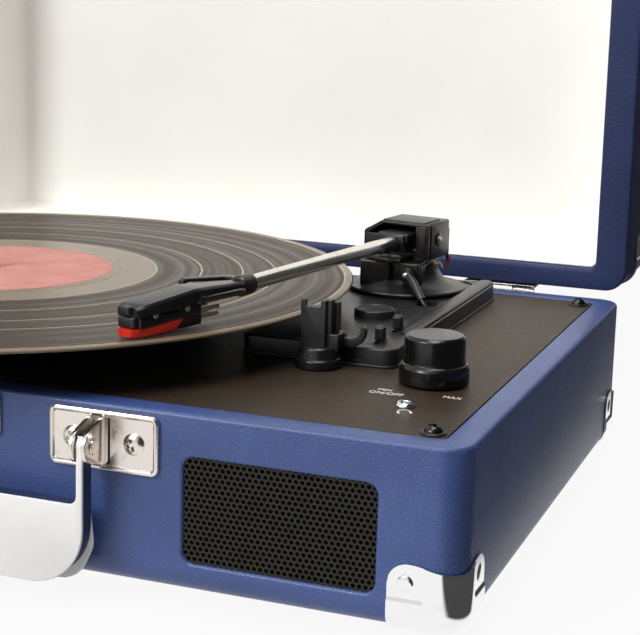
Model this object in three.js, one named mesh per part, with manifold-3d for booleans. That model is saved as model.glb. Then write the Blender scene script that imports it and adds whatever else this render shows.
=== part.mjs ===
// Suitcase record player: a hinged case with a belt-driven platter, a pivoted tonearm, two front
// speakers, a carry handle and a latch. Millimetres, +Z up, X to the right, front of the case
// towards -Y. The origin is the centre of the bottom panel's outer face. The lid stands open.
import * as THREE from 'three';
import { mergeVertices } from 'three/addons/utils/BufferGeometryUtils.js';
import Module from 'manifold-3d';

const wasm = await Module();
wasm.setup();

// Case
const case_width = 356;
const case_depth = 260;
const base_height = 62;
const wall = 10.5;
const corner_radius = 10;
const bottom_edge_radius = 7;
const rim_edge_radius = 1.5;
const fit = 0.3; // clearance between pieces that seat on each other
const post_size = 12; // glue blocks in the base's corners
const bottom_panel_thickness = 6;
const deck_thickness = 3.5;
const deck_recess = 0.3; // deck's top below the rim
const foot_radius = 9;
const foot_height = 8;
const foot_inset = 32;

// Lid and hinges
const lid_depth = 46; // from its rim to its top
const lid_top_thickness = 4;
const lid_gap = 1; // between the closed rims
const lid_open_angle = 90;
const liner_thickness = 1.2;
const liner_setback = 12; // from the lid's rim to the liner's edge
const pin_behind = 5; // hinge pin behind the case's back face
const pin_below = 3.4; // hinge pin below the base's rim
const hinge_x = 119; // each side of the case's middle
const hinge_length = 34;
const hinge_pin_radius = 1.4;
const knuckle_radius = 2.6;
const knuckle_length = 12; // middle knuckle, on the base
const leaf_thickness = 1.2;
const leaf_height = 20;

// Corner caps
const cap_reach = 24.5; // along the case's edges
const cap_rise = 22.5; // up the case's corner
const cap_dip = 2.5; // how far its top edge sags at the corner
const cap_thickness = 0.9;
const cap_round = 7;

// Drive
const spindle_x = -58;
const spindle_y = -22.5;
const spindle_radius = 3.5;
const spindle_above_record = 8;
const record_radius = 150.8;
const record_thickness = 1.4;
const record_height = 18.9; // its top above the rim
const record_edge = 3.5; // width of its raised rim bead
const label_radius = 50;
const groove_depth = 0.25; // playing surface below the label and the bead
const platter_radius = 95;
const platter_thickness = 4;
const platter_skirt = 13;
const skirt_wall = 2.5;
const hub_radius = 10;
const drive_rim_radius = 58;
const drive_rim_wall = 2.5;
const bush_radius = 8;
const bush_flange_radius = 13;
const bush_flange_thickness = 1.6;
const bush_above_deck = 4.3;
const bush_below_deck = 10;
const pulley_distance = 76; // from the spindle
const pulley_angle = 118; // counter-clockwise from +X
const pulley_radius = 5;
const pulley_flange = 1; // rim past the belt's seat
const belt_thickness = 0.8;
const belt_width = 4;
const belt_above_deck = 6.5;
const motor_radius = 16;
const motor_height = 24;
const motor_shaft_radius = 1.5;
const shaft_in_motor = 10;

// Tonearm
const pivot_x = 91.5;
const pivot_y = 78;
const arm_height = 29; // tube's axis above the rim
const arm_yaw = 9.1; // degrees from -Y towards the record
const tube_radius = 2.9;
const tube_start = 9; // ahead of the swing axis
const tube_end = 137.6;
const clamp_width = 12;
const clamp_height = 8;
const clamp_front = 16.5; // ahead of the swing axis
const clamp_back = 9;
const housing_width = 27;
const housing_front = 9.5;
const housing_back = 13.5;
const housing_bottom = 7.5; // below the tube's axis
const housing_top = 9.5; // above the tube's axis
const housing_wall = 2.4;
const housing_floor = 1.8;
const housing_chamfer = 6;
const floor_half_depth = 4;
const swing_shaft_radius = 3;
const arm_pin_radius = 1.4;
const arm_pin_depth = 2; // into the clamp
const shell_offset = 8; // degrees that the headshell turns from the tube
const shell_length = 58; // ahead of the tube's end
const shell_socket = 7; // tube's length inside the headshell
const shell_collar_radius = 4.1;
const shell_neck_width = 8.4;
const shell_width = 13.6;
const shell_top = 2; // above the tube's axis
const shell_depth = 5;
const shell_crest = 30; // its top rises to here and slopes down to its nose
const shell_rise = 1.6;
const shell_drop = 2.6;
const lift_reach = 20; // finger lift's end beside the tube
const lift_width = 2.4;
const lift_thickness = 1;
const needle_reach = 56.5; // from the tube's end to the needle
const needle_gap = 0.4; // its tip above the record
const needle_radius = 0.5;
const cartridge_start = 26.5;
const cartridge_end = 57;
const cartridge_width = 10.4;
const cartridge_height = 3.2;
const cartridge_heel_depth = 6.1; // behind the stylus
const stylus_start = 38;
const stylus_end = 60;
const stylus_width = 9.6;
const stylus_height = 2.7;

// Tonearm base
const plate_left = 63;
const plate_right = 125;
const plate_front = -38;
const plate_back = 107;
const plate_height = 7;
const plate_round = 7;
const recess_front = 30; // recess behind this line
const recess_side = 7.5; // rim beside the recess
const recess_edge = 3; // rim left of the recess and behind it
const recess_floor = 1.6;
const drum_x = 98.5; // low round boss in front of the recess
const drum_y = 14.5;
const drum_radius = 8.2;
const drum_height = 3.2;
const bell_foot_radius = 24;
const bell_flange_radius = 26;
const bell_flange_height = 7.4; // above the rim
const bell_flange_thickness = 1.3;
const bell_top_radius = 13.8;
const bell_top = 18.3;
const block_left = 16.5; // from the swing axis
const block_right = 10;
const block_front = 16;
const block_back = 12;
const block_bottom = 9;
const block_top = 20.6;
const block_round = 5;
const rail_inner = 18;
const rail_outer = 20;
const rail_height = 2;
const rail_travel = 3;
const rail_post_radius = 1.3;
const rail_post_bottom = 13;
const boss_width = 6;
const boss_bottom = 14.8;
const boss_top = 18;
const cue_x = 97.5;
const cue_height = 16.2; // cue lever's pivot above the rim
const cue_hub_radius = 3;
const cue_hub_length = 3.6;
const cue_pin_radius = 1.4;
const cue_bend = [107.4, 49.6, 7.6]; // where its thick part ends: x, y, height above the rim
const cue_tip = [110.5, 48.6, 3];

// Arm rest
const rest_x = 97.7;
const rest_y = -48.2;
const rest_base_radius = 8.8;
const rest_base_height = 7;
const rest_width = 11.2;
const rest_depth = 5.4;
const rest_height = 25;
const rest_notch_width = 6.4;
const rest_notch_depth = 5.3;
const clip_outer_radius = 6.2;
const clip_bar = 2;
const clip_left_height = 16.5; // its arm beside the post
const clip_height = 8.2;
const clip_depth = 3;
const clip_pin_radius = 1;

// Controls on the deck
const knob_x = 143.6;
const knob_y = -52.4;
const knob_top_radius = 11.1;
const knob_skirt_radius = 12.75;
const knob_skirt_height = 7.5;
const knob_height = 18;
const knob_gap = 0.8; // knob's foot above the deck
const knob_shaft_radius = 3;
const pot_size = 17;
const pot_height = 10;
const shaft_in_pot = 6;
const jack_x = 144;
const jack_y = -86.2;
const jack_nut_radius = 4;
const jack_nut_height = 1.6;
const jack_thread_radius = 3;
const jack_bore_radius = 1.75;
const jack_body = 10;
const jack_body_height = 12;
const switch_x = 115;
const speed_switch_y = -28;
const stop_switch_y = -6.5;
const switch_cap = 4.6;
const switch_cap_height = 5.2;
const switch_stem = 2;
const switch_foot = 7;
const switch_travel = 4; // each way

// Speakers
const grille_x = 115.3; // each side of the case's middle
const grille_z = 29.1;
const grille_width = 67.6;
const grille_height = 36.6;
const grille_round = 4;
const grille_thickness = 3;
const grille_recess = 1.2;
const speaker_frame = 4; // frame past the opening, each way
const speaker_radius = 20;
const speaker_depth = 24;
const magnet_radius = 13;

// Amplifier
const board_x = 95;
const board_y = 10;
const board_width = 80;
const board_depth = 60;
const board_thickness = 1.6;
const standoff_radius = 3;
const standoff_height = 6;

// Sockets at the back
const socket_x = -55;
const socket_z = 30;
const socket_panel_width = 70;
const socket_panel_height = 28;
const socket_panel_thickness = 2;
const socket_lap = 4; // panel past its opening
const rca_offset = -14; // from the panel's middle
const rca_spacing = 14;
const rca_radius = 4.2;
const rca_reach = 8;
const rca_bore_radius = 1.6;
const inlet_offset = 18;
const inlet_radius = 4.5;
const inlet_bore_radius = 2.8;
const inlet_pin_radius = 1;
const socket_body_depth = 9;
const socket_body_height = 13;

// Carry handle
const bracket_x = 52.7; // each side of the case's middle
const bracket_z = 49.6;
const bracket_width = 41;
const bracket_height = 20.8;
const bracket_thickness = 1.4;
const bracket_bevel = 1;
const ear_thickness = 1.6;
const ear_radius = 6;
const handle_pivot_ahead = 9.4; // ahead of the case's front
const handle_half_width = 51.4;
const handle_band = 2.3;
const handle_thickness = 8;
const grip_top = 19.6; // below the pivot
const grip_bottom = 48.6;
const grip_round = 20;
const handle_pin_radius = 1.6;

// Latch
const latch_width = 26;
const latch_plate_height = 15;
const latch_plate_thickness = 1.4;
const latch_edge = 1; // plates' edges from the rims
const latch_pin_ahead = 6; // ahead of the case's front
const latch_pin_above = 8; // above the lid's rim
const latch_pin_radius = 1.4;
const latch_barrel_wall = 1.3;
const latch_lug = 2;
const hasp_width = 16;
const hasp_thickness = 2;
const hasp_length = 22;
const hook_reach = 3;
const hook_below = 9; // below the base's rim

const rad = THREE.MathUtils.degToRad;
const { sin, cos, acos, sqrt, PI } = Math;

// Places worked out from the sizes above
const half_width = case_width / 2;
const half_depth = case_depth / 2;
const inner_width = case_width - 2 * wall;
const inner_depth = case_depth - 2 * wall;
const deck_top = base_height - deck_recess;
const deck_bottom = deck_top - deck_thickness;
const record_top = base_height + record_height;
const record_bottom = record_top - record_thickness;
const platter_top = record_bottom - fit;
const arm_z = base_height + arm_height;
const shell_bottom = arm_z + shell_top - shell_depth;
const pulley_x = spindle_x + pulley_distance * cos(rad(pulley_angle));
const pulley_y = spindle_y + pulley_distance * sin(rad(pulley_angle));
const belt_bottom = deck_top + belt_above_deck;
const front_face = -half_depth - fit; // where pieces lie on the case's front
const back_face = half_depth + fit;
const pin_y = half_depth + pin_behind;
const pin_z = base_height - pin_below;
const lid_rim = base_height + lid_gap;
const lid_top = lid_rim + lid_depth;
const plate_top = base_height + plate_height;
const left_right = [['left', -1], ['right', 1]];
const corners = [
  ['front_left', -1, -1], ['front_right', 1, -1], ['back_left', -1, 1], ['back_right', 1, 1],
];

const paint = (color, roughness, metalness = 0) =>
  new THREE.MeshStandardMaterial({ color, roughness, metalness });
const leather = () => paint(0x2a3c6e, 0.6);
const lining = () => paint(0xf2efe8, 0.8);
const dark_vinyl = () => paint(0x2a2523, 0.65);
const black = () => paint(0x171614, 0.4);
const chrome = () => paint(0xdcdcdc, 0.15, 1);
const steel = () => paint(0x9b9b98, 0.35, 1);
const record_vinyl = () => paint(0x25221d, 0.3);
const rubber = () => paint(0x1a1a1a, 0.85);
const red = () => paint(0xd8261a, 0.4);
const circuit_board = () => paint(0x1f5a35, 0.6);
const wood = () => paint(0x9a7b55, 0.8);

// Solids: a closed geometry becomes a solid that can be joined and cut.

function solid(geometry) {
  const bare = geometry.index ? geometry.toNonIndexed() : geometry.clone();
  for (const name of Object.keys(bare.attributes)) {
    if (name !== 'position') bare.deleteAttribute(name);
  }
  const merged = mergeVertices(bare, 1e-4);
  return new wasm.Manifold(new wasm.Mesh({
    numProp: 3,
    vertProperties: new Float32Array(merged.attributes.position.array),
    triVerts: new Uint32Array(merged.index.array),
  }));
}

function geometryOf(manifold) {
  const mesh = manifold.getMesh();
  const geometry = new THREE.BufferGeometry();
  geometry.setAttribute('position', new THREE.BufferAttribute(mesh.vertProperties, 3));
  geometry.setIndex(new THREE.BufferAttribute(mesh.triVerts, 1));
  geometry.computeVertexNormals();
  return geometry;
}

const join = (first, ...others) => others.reduce((sum, other) => sum.add(other), first);
const cut = (first, ...others) => others.reduce((rest, other) => rest.subtract(other), first);
const hull = (...pieces) => wasm.Manifold.hull(pieces);

function box(x0, x1, y0, y1, z0, z1) {
  const geometry = new THREE.BoxGeometry(x1 - x0, y1 - y0, z1 - z0);
  geometry.translate((x0 + x1) / 2, (y0 + y1) / 2, (z0 + z1) / 2);
  return solid(geometry);
}

// A round piece about Z. Its outline's points are [radius, height], counter-clockwise.
function turned(outline, x = 0, y = 0, segments = 32) {
  const points = outline.map(([r, z]) => new THREE.Vector2(r, z));
  const geometry = new THREE.LatheGeometry(points, segments);
  geometry.rotateX(PI / 2);
  geometry.translate(x, y, 0);
  return solid(geometry);
}

const disc = (radius, z0, z1, x = 0, y = 0, segments = 32) =>
  turned([[0, z0], [radius, z0], [radius, z1], [0, z1]], x, y, segments);

// Turned pieces laid along Y or X keep their heights as places along that axis.
const alongY = (piece, x, z) => piece.rotate([-90, 0, 0]).translate([x, 0, z]);
const alongX = (piece, y, z) => piece.rotate([0, 90, 0]).translate([0, y, z]);
const rodAlongY = (radius, y0, y1, x, z) => alongY(disc(radius, y0, y1, 0, 0, 16), x, z);
const rodAlongX = (radius, x0, x1, y, z) => alongX(disc(radius, x0, x1, 0, 0, 16), y, z);

function roundedShape(width, depth, radius) {
  const [w, d] = [width / 2 - radius, depth / 2 - radius];
  const shape = new THREE.Shape();
  shape.absarc(w, -d, radius, -PI / 2, 0);
  shape.absarc(w, d, radius, 0, PI / 2);
  shape.absarc(-w, d, radius, PI / 2, PI);
  shape.absarc(-w, -d, radius, PI, PI * 1.5);
  return shape;
}

const polygon = (points) => new THREE.Shape(points.map(([x, y]) => new THREE.Vector2(x, y)));

// A flat outline drawn in X and Y, given a height.
function extruded(shape, z0, z1, curve_steps = 6) {
  const geometry = new THREE.ExtrudeGeometry(shape, {
    depth: z1 - z0, bevelEnabled: false, curveSegments: curve_steps,
  });
  geometry.translate(0, 0, z0);
  return solid(geometry);
}

// An outline drawn in X and Z, extruded along Y, and one drawn in Y and Z, extruded along X.
const facing = (shape, y0, y1, curve_steps) =>
  extruded(shape, -y1, -y0, curve_steps).rotate([90, 0, 0]);
const sideways = (shape, x0, x1) => extruded(shape, x0, x1).rotate([90, 0, 90]);

// Levels of a quarter-round edge: how far each lies inside the wall, and its height.
function quarterRound(radius, z, sense) {
  const steps = 4;
  const levels = [];
  for (let i = 0; i <= steps; i++) {
    const angle = (i / steps) * PI / 2;
    levels.push([radius * (1 - sin(angle)), z + sense * radius * (1 - cos(angle))]);
  }
  return levels;
}

// A rounded box drawn as stacked outlines, with quarter-round bottom and top edges. Grown, it
// is the surface that lies so far outside.
function roundedBox(width, depth, z0, z1, corner, bottom_edge, top_edge, grow = 0) {
  const levels = [
    ...quarterRound(bottom_edge + grow, z0 - grow, 1),
    ...quarterRound(top_edge + grow, z1 + grow, -1).reverse(),
  ];
  const corner_steps = 4;
  const positions = [];
  for (const [inset, z] of levels) {
    const [w, d] = [width / 2 - corner, depth / 2 - corner];
    const r = corner + grow - inset;
    for (let quarter = 0; quarter < 4; quarter++) {
      const cx = quarter === 0 || quarter === 3 ? w : -w;
      const cy = quarter < 2 ? d : -d;
      for (let i = 0; i <= corner_steps; i++) {
        const angle = (quarter + i / corner_steps) * PI / 2;
        positions.push(cx + r * cos(angle), cy + r * sin(angle), z);
      }
    }
  }
  const count = 4 * (corner_steps + 1);
  const faces = [];
  for (let level = 0; level < levels.length - 1; level++) {
    for (let i = 0; i < count; i++) {
      const a = level * count + i;
      const b = level * count + ((i + 1) % count);
      faces.push(a, b, b + count, a, b + count, a + count);
    }
  }
  const last = (levels.length - 1) * count;
  for (let i = 1; i < count - 1; i++) {
    faces.push(0, i + 1, i, last, last + i, last + i + 1);
  }
  const geometry = new THREE.BufferGeometry();
  geometry.setAttribute('position', new THREE.Float32BufferAttribute(positions, 3));
  geometry.setIndex(faces);
  return solid(geometry);
}

function add(group, name, piece, material) {
  const mesh = new THREE.Mesh(geometryOf(piece), material());
  mesh.name = name;
  group.add(mesh);
}

const player = new THREE.Group();

// Case: frame, bottom panel, feet and corner caps

function baseShell() {
  const frame = roundedBox(case_width, case_depth, 0, base_height, corner_radius,
    bottom_edge_radius, rim_edge_radius);
  const cavity = extruded(roundedShape(inner_width, inner_depth, 3), -1, base_height + 1);
  const post = box(inner_width / 2 - post_size, inner_width / 2 + 1,
    inner_depth / 2 - post_size, inner_depth / 2 + 1,
    bottom_panel_thickness + fit, deck_bottom - fit);
  const posts = corners.map(([, sx, sy]) => post.scale([sx, sy, 1]));
  const openings = left_right.map(([, side]) =>
    facing(roundedShape(grille_width, grille_height, grille_round),
      -half_depth - 1, -inner_depth / 2 + 1).translate([side * grille_x, 0, grille_z]));
  const [w, h] = [socket_panel_width / 2 - socket_lap, socket_panel_height / 2 - socket_lap];
  const socket_opening = box(socket_x - w, socket_x + w, inner_depth / 2 - 1, half_depth + 1,
    socket_z - h, socket_z + h);
  return cut(join(cut(frame, cavity), ...posts), ...openings, socket_opening);
}

function foot(sx, sy) {
  return turned([
    [0, -foot_height], [foot_radius - 1.5, -foot_height], [foot_radius, -foot_height + 1.5],
    [foot_radius, -fit], [0, -fit],
  ], sx * (half_width - foot_inset), sy * (half_depth - foot_inset), 24);
}

// A pressed cap over one bottom corner of a shell. Its outline is cut along the corner's
// diagonal, so that both faces get the same round-cornered tab, sagging at the corner.
function cornerCap(shell_height, sx, sy) {
  const shellAt = (grow) => roundedBox(case_width, case_depth, 0, shell_height, corner_radius,
    bottom_edge_radius, rim_edge_radius, grow);
  const w = cap_reach / sqrt(2);
  const r = cap_round / sqrt(2);
  const outline = new THREE.Shape();
  outline.moveTo(-w, -5);
  outline.lineTo(w, -5);
  outline.absellipse(w - r, cap_rise - cap_round, r, cap_round, 0, PI / 2);
  outline.quadraticCurveTo(0, cap_rise - 2 * cap_dip, r - w, cap_rise);
  outline.absellipse(r - w, cap_rise - cap_round, r, cap_round, PI / 2, PI);
  const tab = new THREE.ExtrudeGeometry(outline, {
    depth: 10 + 1.25 * w, bevelEnabled: false, curveSegments: 6,
  });
  tab.translate(0, 0, -10);
  const across = new THREE.Vector3(1, -1, 0).normalize();
  const up = new THREE.Vector3(0, 0, 1);
  const inwards = new THREE.Vector3(-1, -1, 0).normalize();
  tab.applyMatrix4(new THREE.Matrix4().makeBasis(across, up, inwards));
  tab.translate(half_width, half_depth, 0);
  const sheet = cut(shellAt(fit + cap_thickness), shellAt(fit));
  return sheet.intersect(solid(tab)).scale([sx, sy, 1]);
}

add(player, 'base_shell', baseShell(), leather);
const panel_shape = roundedShape(inner_width - 2 * fit, inner_depth - 2 * fit, 3);
add(player, 'bottom_panel', extruded(panel_shape, 0, bottom_panel_thickness), wood);
for (const [name, sx, sy] of corners) {
  add(player, `foot_${name}`, foot(sx, sy), rubber);
  add(player, `base_cap_${name}`, cornerCap(base_height, sx, sy), chrome);
}

// Deck plate, with the holes that its fittings pass through

const switches = [['speed_lever', speed_switch_y], ['auto_stop_switch', stop_switch_y]];
const slot_width = switch_stem + 2 * fit;
const slot_length = slot_width + 2 * switch_travel;

function switchSlot(y, z0, z1) {
  return box(switch_x - slot_width / 2, switch_x + slot_width / 2,
    y - slot_length / 2, y + slot_length / 2, z0, z1);
}

function deckPlate() {
  const [z0, z1] = [deck_bottom - 1, deck_top + 1];
  return cut(
    extruded(panel_shape, deck_bottom, deck_top),
    disc(bush_radius + fit, z0, z1, spindle_x, spindle_y),
    disc(motor_shaft_radius + 3, z0, z1, pulley_x, pulley_y, 20),
    disc(knob_shaft_radius + fit, z0, z1, knob_x, knob_y, 20),
    disc(jack_thread_radius + fit, z0, z1, jack_x, jack_y, 20),
    ...switches.map(([, y]) => switchSlot(y, z0, z1)),
  );
}

add(player, 'deck_plate', deckPlate(), dark_vinyl);

// Drive: platter, record and spindle turn in the bush, driven by the belt

const drive_bore = spindle_radius + fit;
const spindle_bottom = deck_bottom - bush_below_deck;
const bush_top = deck_top + bush_above_deck;

function platter() {
  const [r, top, edge] = [platter_radius, platter_top, 1];
  const web = top - platter_thickness;
  const rim_inside = drive_rim_radius - drive_rim_wall;
  return turned([
    [drive_bore, bush_top + fit], [hub_radius, bush_top + fit], [hub_radius, web],
    [rim_inside, web], [rim_inside, belt_bottom - 1],
    [drive_rim_radius, belt_bottom - 1], [drive_rim_radius, web], [r - skirt_wall, web],
    [r - skirt_wall, top - platter_skirt], [r, top - platter_skirt], [r, top - edge],
    [r - edge, top], [drive_bore, top], [drive_bore, bush_top + fit],
  ], spindle_x, spindle_y, 48);
}

function record() {
  const [r, z0, z1] = [record_radius, record_bottom, record_top];
  const edge = record_thickness / 3;
  return turned([
    [drive_bore, z0], [r - edge, z0], [r, z0 + edge], [r, z1 - edge], [r - edge, z1],
    [r - record_edge, z1], [r - record_edge - 1, z1 - groove_depth],
    [label_radius + 4, z1 - groove_depth], [label_radius + 3, z1], [drive_bore, z1],
    [drive_bore, z0],
  ], spindle_x, spindle_y, 72);
}

function spindle() {
  const [r, top] = [spindle_radius, record_top + spindle_above_record];
  return turned([
    [0, spindle_bottom], [r, spindle_bottom], [r, top - 2.5], [r - 1, top - 0.8], [1, top],
    [0, top],
  ], spindle_x, spindle_y, 24);
}

function spindleBush() {
  const [r, flange] = [bush_radius, bush_flange_radius];
  const [z0, z1] = [deck_top + fit, deck_top + fit + bush_flange_thickness];
  return turned([
    [drive_bore, spindle_bottom], [r, spindle_bottom], [r, z0], [flange, z0], [flange, z1],
    [r, z1], [r, bush_top], [drive_bore, bush_top], [drive_bore, spindle_bottom],
  ], spindle_x, spindle_y, 32);
}

function motor() {
  const top = deck_bottom - fit;
  return cut(disc(motor_radius, top - motor_height, top, pulley_x, pulley_y),
    disc(motor_shaft_radius + fit, top - shaft_in_motor, top + 1, pulley_x, pulley_y, 20));
}

function motorPulley() {
  const [r, rim, shaft] = [pulley_radius, pulley_radius + pulley_flange, motor_shaft_radius];
  const shaft_bottom = deck_bottom - shaft_in_motor;
  const [z0, z1] = [belt_bottom - 0.5, belt_bottom + belt_width + 0.5];
  return turned([
    [0, shaft_bottom], [shaft, shaft_bottom], [shaft, z0 - 1], [rim, z0 - 1], [rim, z0 - 0.4],
    [r, z0], [r, z1], [rim, z1 + 0.4], [rim, z1 + 1], [0, z1 + 1],
  ], pulley_x, pulley_y, 24);
}

// A loop around the drive rim and the pulley: two arcs and the straights that touch both.
function beltLoop(away) {
  const [big, small] = [drive_rim_radius + away, pulley_radius + away];
  const turn = acos((big - small) / pulley_distance);
  const facing_pulley = rad(pulley_angle);
  const loop = new THREE.Shape();
  loop.absarc(spindle_x, spindle_y, big, facing_pulley + turn, facing_pulley - turn + 2 * PI);
  loop.absarc(pulley_x, pulley_y, small, facing_pulley - turn, facing_pulley + turn);
  return loop;
}

function driveBelt() {
  const outside = beltLoop(fit + belt_thickness);
  const inside = beltLoop(fit);
  return cut(extruded(outside, belt_bottom, belt_bottom + belt_width, 32),
    extruded(inside, belt_bottom - 1, belt_bottom + belt_width + 1, 32));
}

add(player, 'platter', platter(), black);
add(player, 'record', record(), record_vinyl);
add(player, 'spindle', spindle(), steel);
add(player, 'spindle_bush', spindleBush(), steel);
add(player, 'motor', motor(), steel);
add(player, 'motor_pulley', motorPulley(), steel);
add(player, 'drive_belt', driveBelt(), rubber);

// Tonearm base: plate with a recess, bell, block, lift rail, cue lever and two slide switches

function tonearmPlate() {
  const [w, d] = [plate_right - plate_left, plate_back - plate_front];
  const body = extruded(roundedShape(w, d, plate_round), deck_top + fit, plate_top)
    .translate([(plate_left + plate_right) / 2, (plate_front + plate_back) / 2, 0]);
  const recess = box(plate_left + recess_edge, plate_right - recess_side, recess_front,
    plate_back - recess_edge, base_height + recess_floor, plate_top + 1);
  const rest_seat = disc(rest_base_radius + fit, base_height - 1, plate_top + 1, rest_x, rest_y);
  const drum = disc(drum_radius, plate_top - 1, plate_top + drum_height, drum_x, drum_y);
  return cut(join(body, drum), recess, rest_seat,
    ...switches.map(([, y]) => switchSlot(y, base_height - 1, plate_top + 1)));
}

function blockOutline(grow) {
  const [x0, x1] = [pivot_x - block_left - grow, pivot_x + block_right + grow];
  const [z0, z1] = [base_height + block_bottom - grow, base_height + block_top + grow];
  const r = block_round;
  const outline = new THREE.Shape();
  outline.moveTo(x0 + r, z0);
  outline.lineTo(x1, z0);
  outline.lineTo(x1, z1);
  outline.lineTo(x0, z1);
  outline.absarc(x0 + r, z0 + r, r, PI, PI * 1.5);
  return facing(outline, pivot_y - block_front - grow, pivot_y + block_back + grow);
}

function bell() {
  const [flange_bottom, top] = [base_height + bell_flange_height, base_height + bell_top];
  const flange_top = flange_bottom + bell_flange_thickness;
  const bottom = base_height + recess_floor + fit;
  const flare = bell_flange_radius - bell_top_radius;
  const curve = [];
  const steps = 6;
  for (let i = 0; i <= steps; i++) {
    const angle = (i / steps) * PI / 2;
    curve.push([
      bell_flange_radius - flare * sin(angle), flange_top + (top - flange_top) * (1 - cos(angle)),
    ]);
  }
  const body = turned([
    [0, bottom], [bell_foot_radius, bottom], [bell_foot_radius, flange_bottom],
    [bell_flange_radius, flange_bottom], ...curve, [0, top],
  ], pivot_x, pivot_y, 32);
  const bore = disc(swing_shaft_radius + fit, bottom - 1, top + 1, pivot_x, pivot_y, 20);
  return cut(body, blockOutline(fit), bore);
}

const block_face = pivot_y - block_front;
const rail_angle = rad(-90 - arm_yaw);
const rail_middle = (rail_inner + rail_outer) / 2;
const rail_post_x = pivot_x + rail_middle * cos(rail_angle);
const rail_post_y = pivot_y + rail_middle * sin(rail_angle);

function liftBlock() {
  const [x, y, half] = [rail_post_x, rail_post_y, boss_width / 2];
  const boss = box(x - half, x + half, y - half, block_face + 1,
    base_height + boss_bottom, base_height + boss_top);
  const pin = rodAlongY(cue_pin_radius, block_face - cue_hub_length - 2 * fit, block_face + 1,
    cue_x, base_height + cue_height);
  return cut(join(blockOutline(0), boss, pin),
    disc(swing_shaft_radius + fit, base_height, arm_z, pivot_x, pivot_y, 20),
    disc(rail_post_radius + fit, base_height, arm_z, x, y, 20));
}

function liftRail() {
  const top = arm_z - tube_radius - fit - rail_travel;
  const [start, end] = [rad(-132), rad(-82)];
  const arc = new THREE.Shape();
  arc.absarc(pivot_x, pivot_y, rail_outer, start, end);
  arc.absarc(pivot_x, pivot_y, rail_inner, end, start, true);
  return join(extruded(arc, top - rail_height, top, 12),
    disc(rail_post_radius, base_height + rail_post_bottom, top - 0.5, rail_post_x, rail_post_y, 20));
}

function cueLever() {
  const [y0, y1] = [block_face - fit - cue_hub_length, block_face - fit];
  const pivot_height = base_height + cue_height;
  const slice = (radius, [x, y, height], half) =>
    rodAlongY(radius, y - half, y + half, x, base_height + height);
  const hub = rodAlongY(cue_hub_radius, y0, y1, cue_x, pivot_height);
  const arm = hull(slice(2.2, [cue_x, y0 + 1.2, cue_height], 1.2), slice(1.9, cue_bend, 1.2));
  const tip = hull(slice(0.9, cue_bend, 0.9), slice(0.9, cue_tip, 0.9));
  return cut(join(hub, arm, tip),
    rodAlongY(cue_pin_radius + fit, y0 - 4, y1 + 1, cue_x, pivot_height));
}

// A slide switch: a cap above the tonearm plate, a stem through both slots and a foot below.
function slideSwitch(y) {
  const square = (size, z0, z1) =>
    box(switch_x - size / 2, switch_x + size / 2, y - size / 2, y + size / 2, z0, z1);
  const [cap_bottom, foot_top] = [plate_top + fit, deck_bottom - fit];
  return join(
    square(switch_cap, cap_bottom, cap_bottom + switch_cap_height),
    square(switch_stem, foot_top - 1, cap_bottom + 1),
    square(switch_foot, foot_top - 2, foot_top),
  );
}

add(player, 'tonearm_plate', tonearmPlate(), black);
add(player, 'arm_pedestal', bell(), black);
add(player, 'lift_block', liftBlock(), black);
add(player, 'lift_rail', liftRail(), black);
add(player, 'cue_lever', cueLever(), black);
for (const [name, y] of switches) add(player, name, slideSwitch(y), black);

// Tonearm, drawn about the swing axis with its tube along -Y and turned as a whole

const tonearm = new THREE.Group();
tonearm.position.set(pivot_x, pivot_y, 0);
tonearm.rotation.z = rad(-arm_yaw);
player.add(tonearm);

function armHousing() {
  const [w, t] = [housing_width / 2, housing_wall];
  const [z0, z1] = [arm_z - housing_bottom, arm_z + housing_top];
  const section = (x, bottom, top, chamfer) => polygon([
    [-x, bottom], [x, bottom], [x, top - 1], [x - 1, top], [-x + chamfer, top],
    [-x, top - chamfer],
  ]);
  const outside = facing(section(w, z0, z1, housing_chamfer), -housing_front, housing_back);
  const inside = facing(
    section(w - t, z0 - 1, z1 - t, housing_chamfer - t * (2 - sqrt(2))),
    -housing_front - 1, housing_back + 1);
  const floor = box(1 - w, w - 1, -floor_half_depth, floor_half_depth, z0, z0 + housing_floor);
  const shaft = disc(swing_shaft_radius, base_height + 3, z0 + 1, 0, 0, 20);
  const pins = [-1, 1].map((side) =>
    rodAlongX(arm_pin_radius, clamp_width / 2 - arm_pin_depth, w - 1, 0, arm_z)
      .scale([side, 1, 1]));
  return join(cut(outside, inside), floor, shaft, ...pins);
}

function armClamp() {
  const [w, h] = [clamp_width / 2, clamp_height / 2];
  const body = box(-w, w, -clamp_front, clamp_back, arm_z - h, arm_z + h);
  const bores = [-1, 1].map((side) =>
    rodAlongX(arm_pin_radius + fit, w - arm_pin_depth - fit, w + 1, 0, arm_z)
      .scale([side, 1, 1]));
  return cut(body, ...bores,
    rodAlongY(tube_radius + fit, -clamp_front - 1, -tube_start + fit, 0, arm_z));
}

// The headshell's pieces lie ahead of the tube's end, turned a little towards the record.
const alongShell = (piece) => piece.rotate([0, 0, -shell_offset]).translate([0, -tube_end, 0]);

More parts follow.
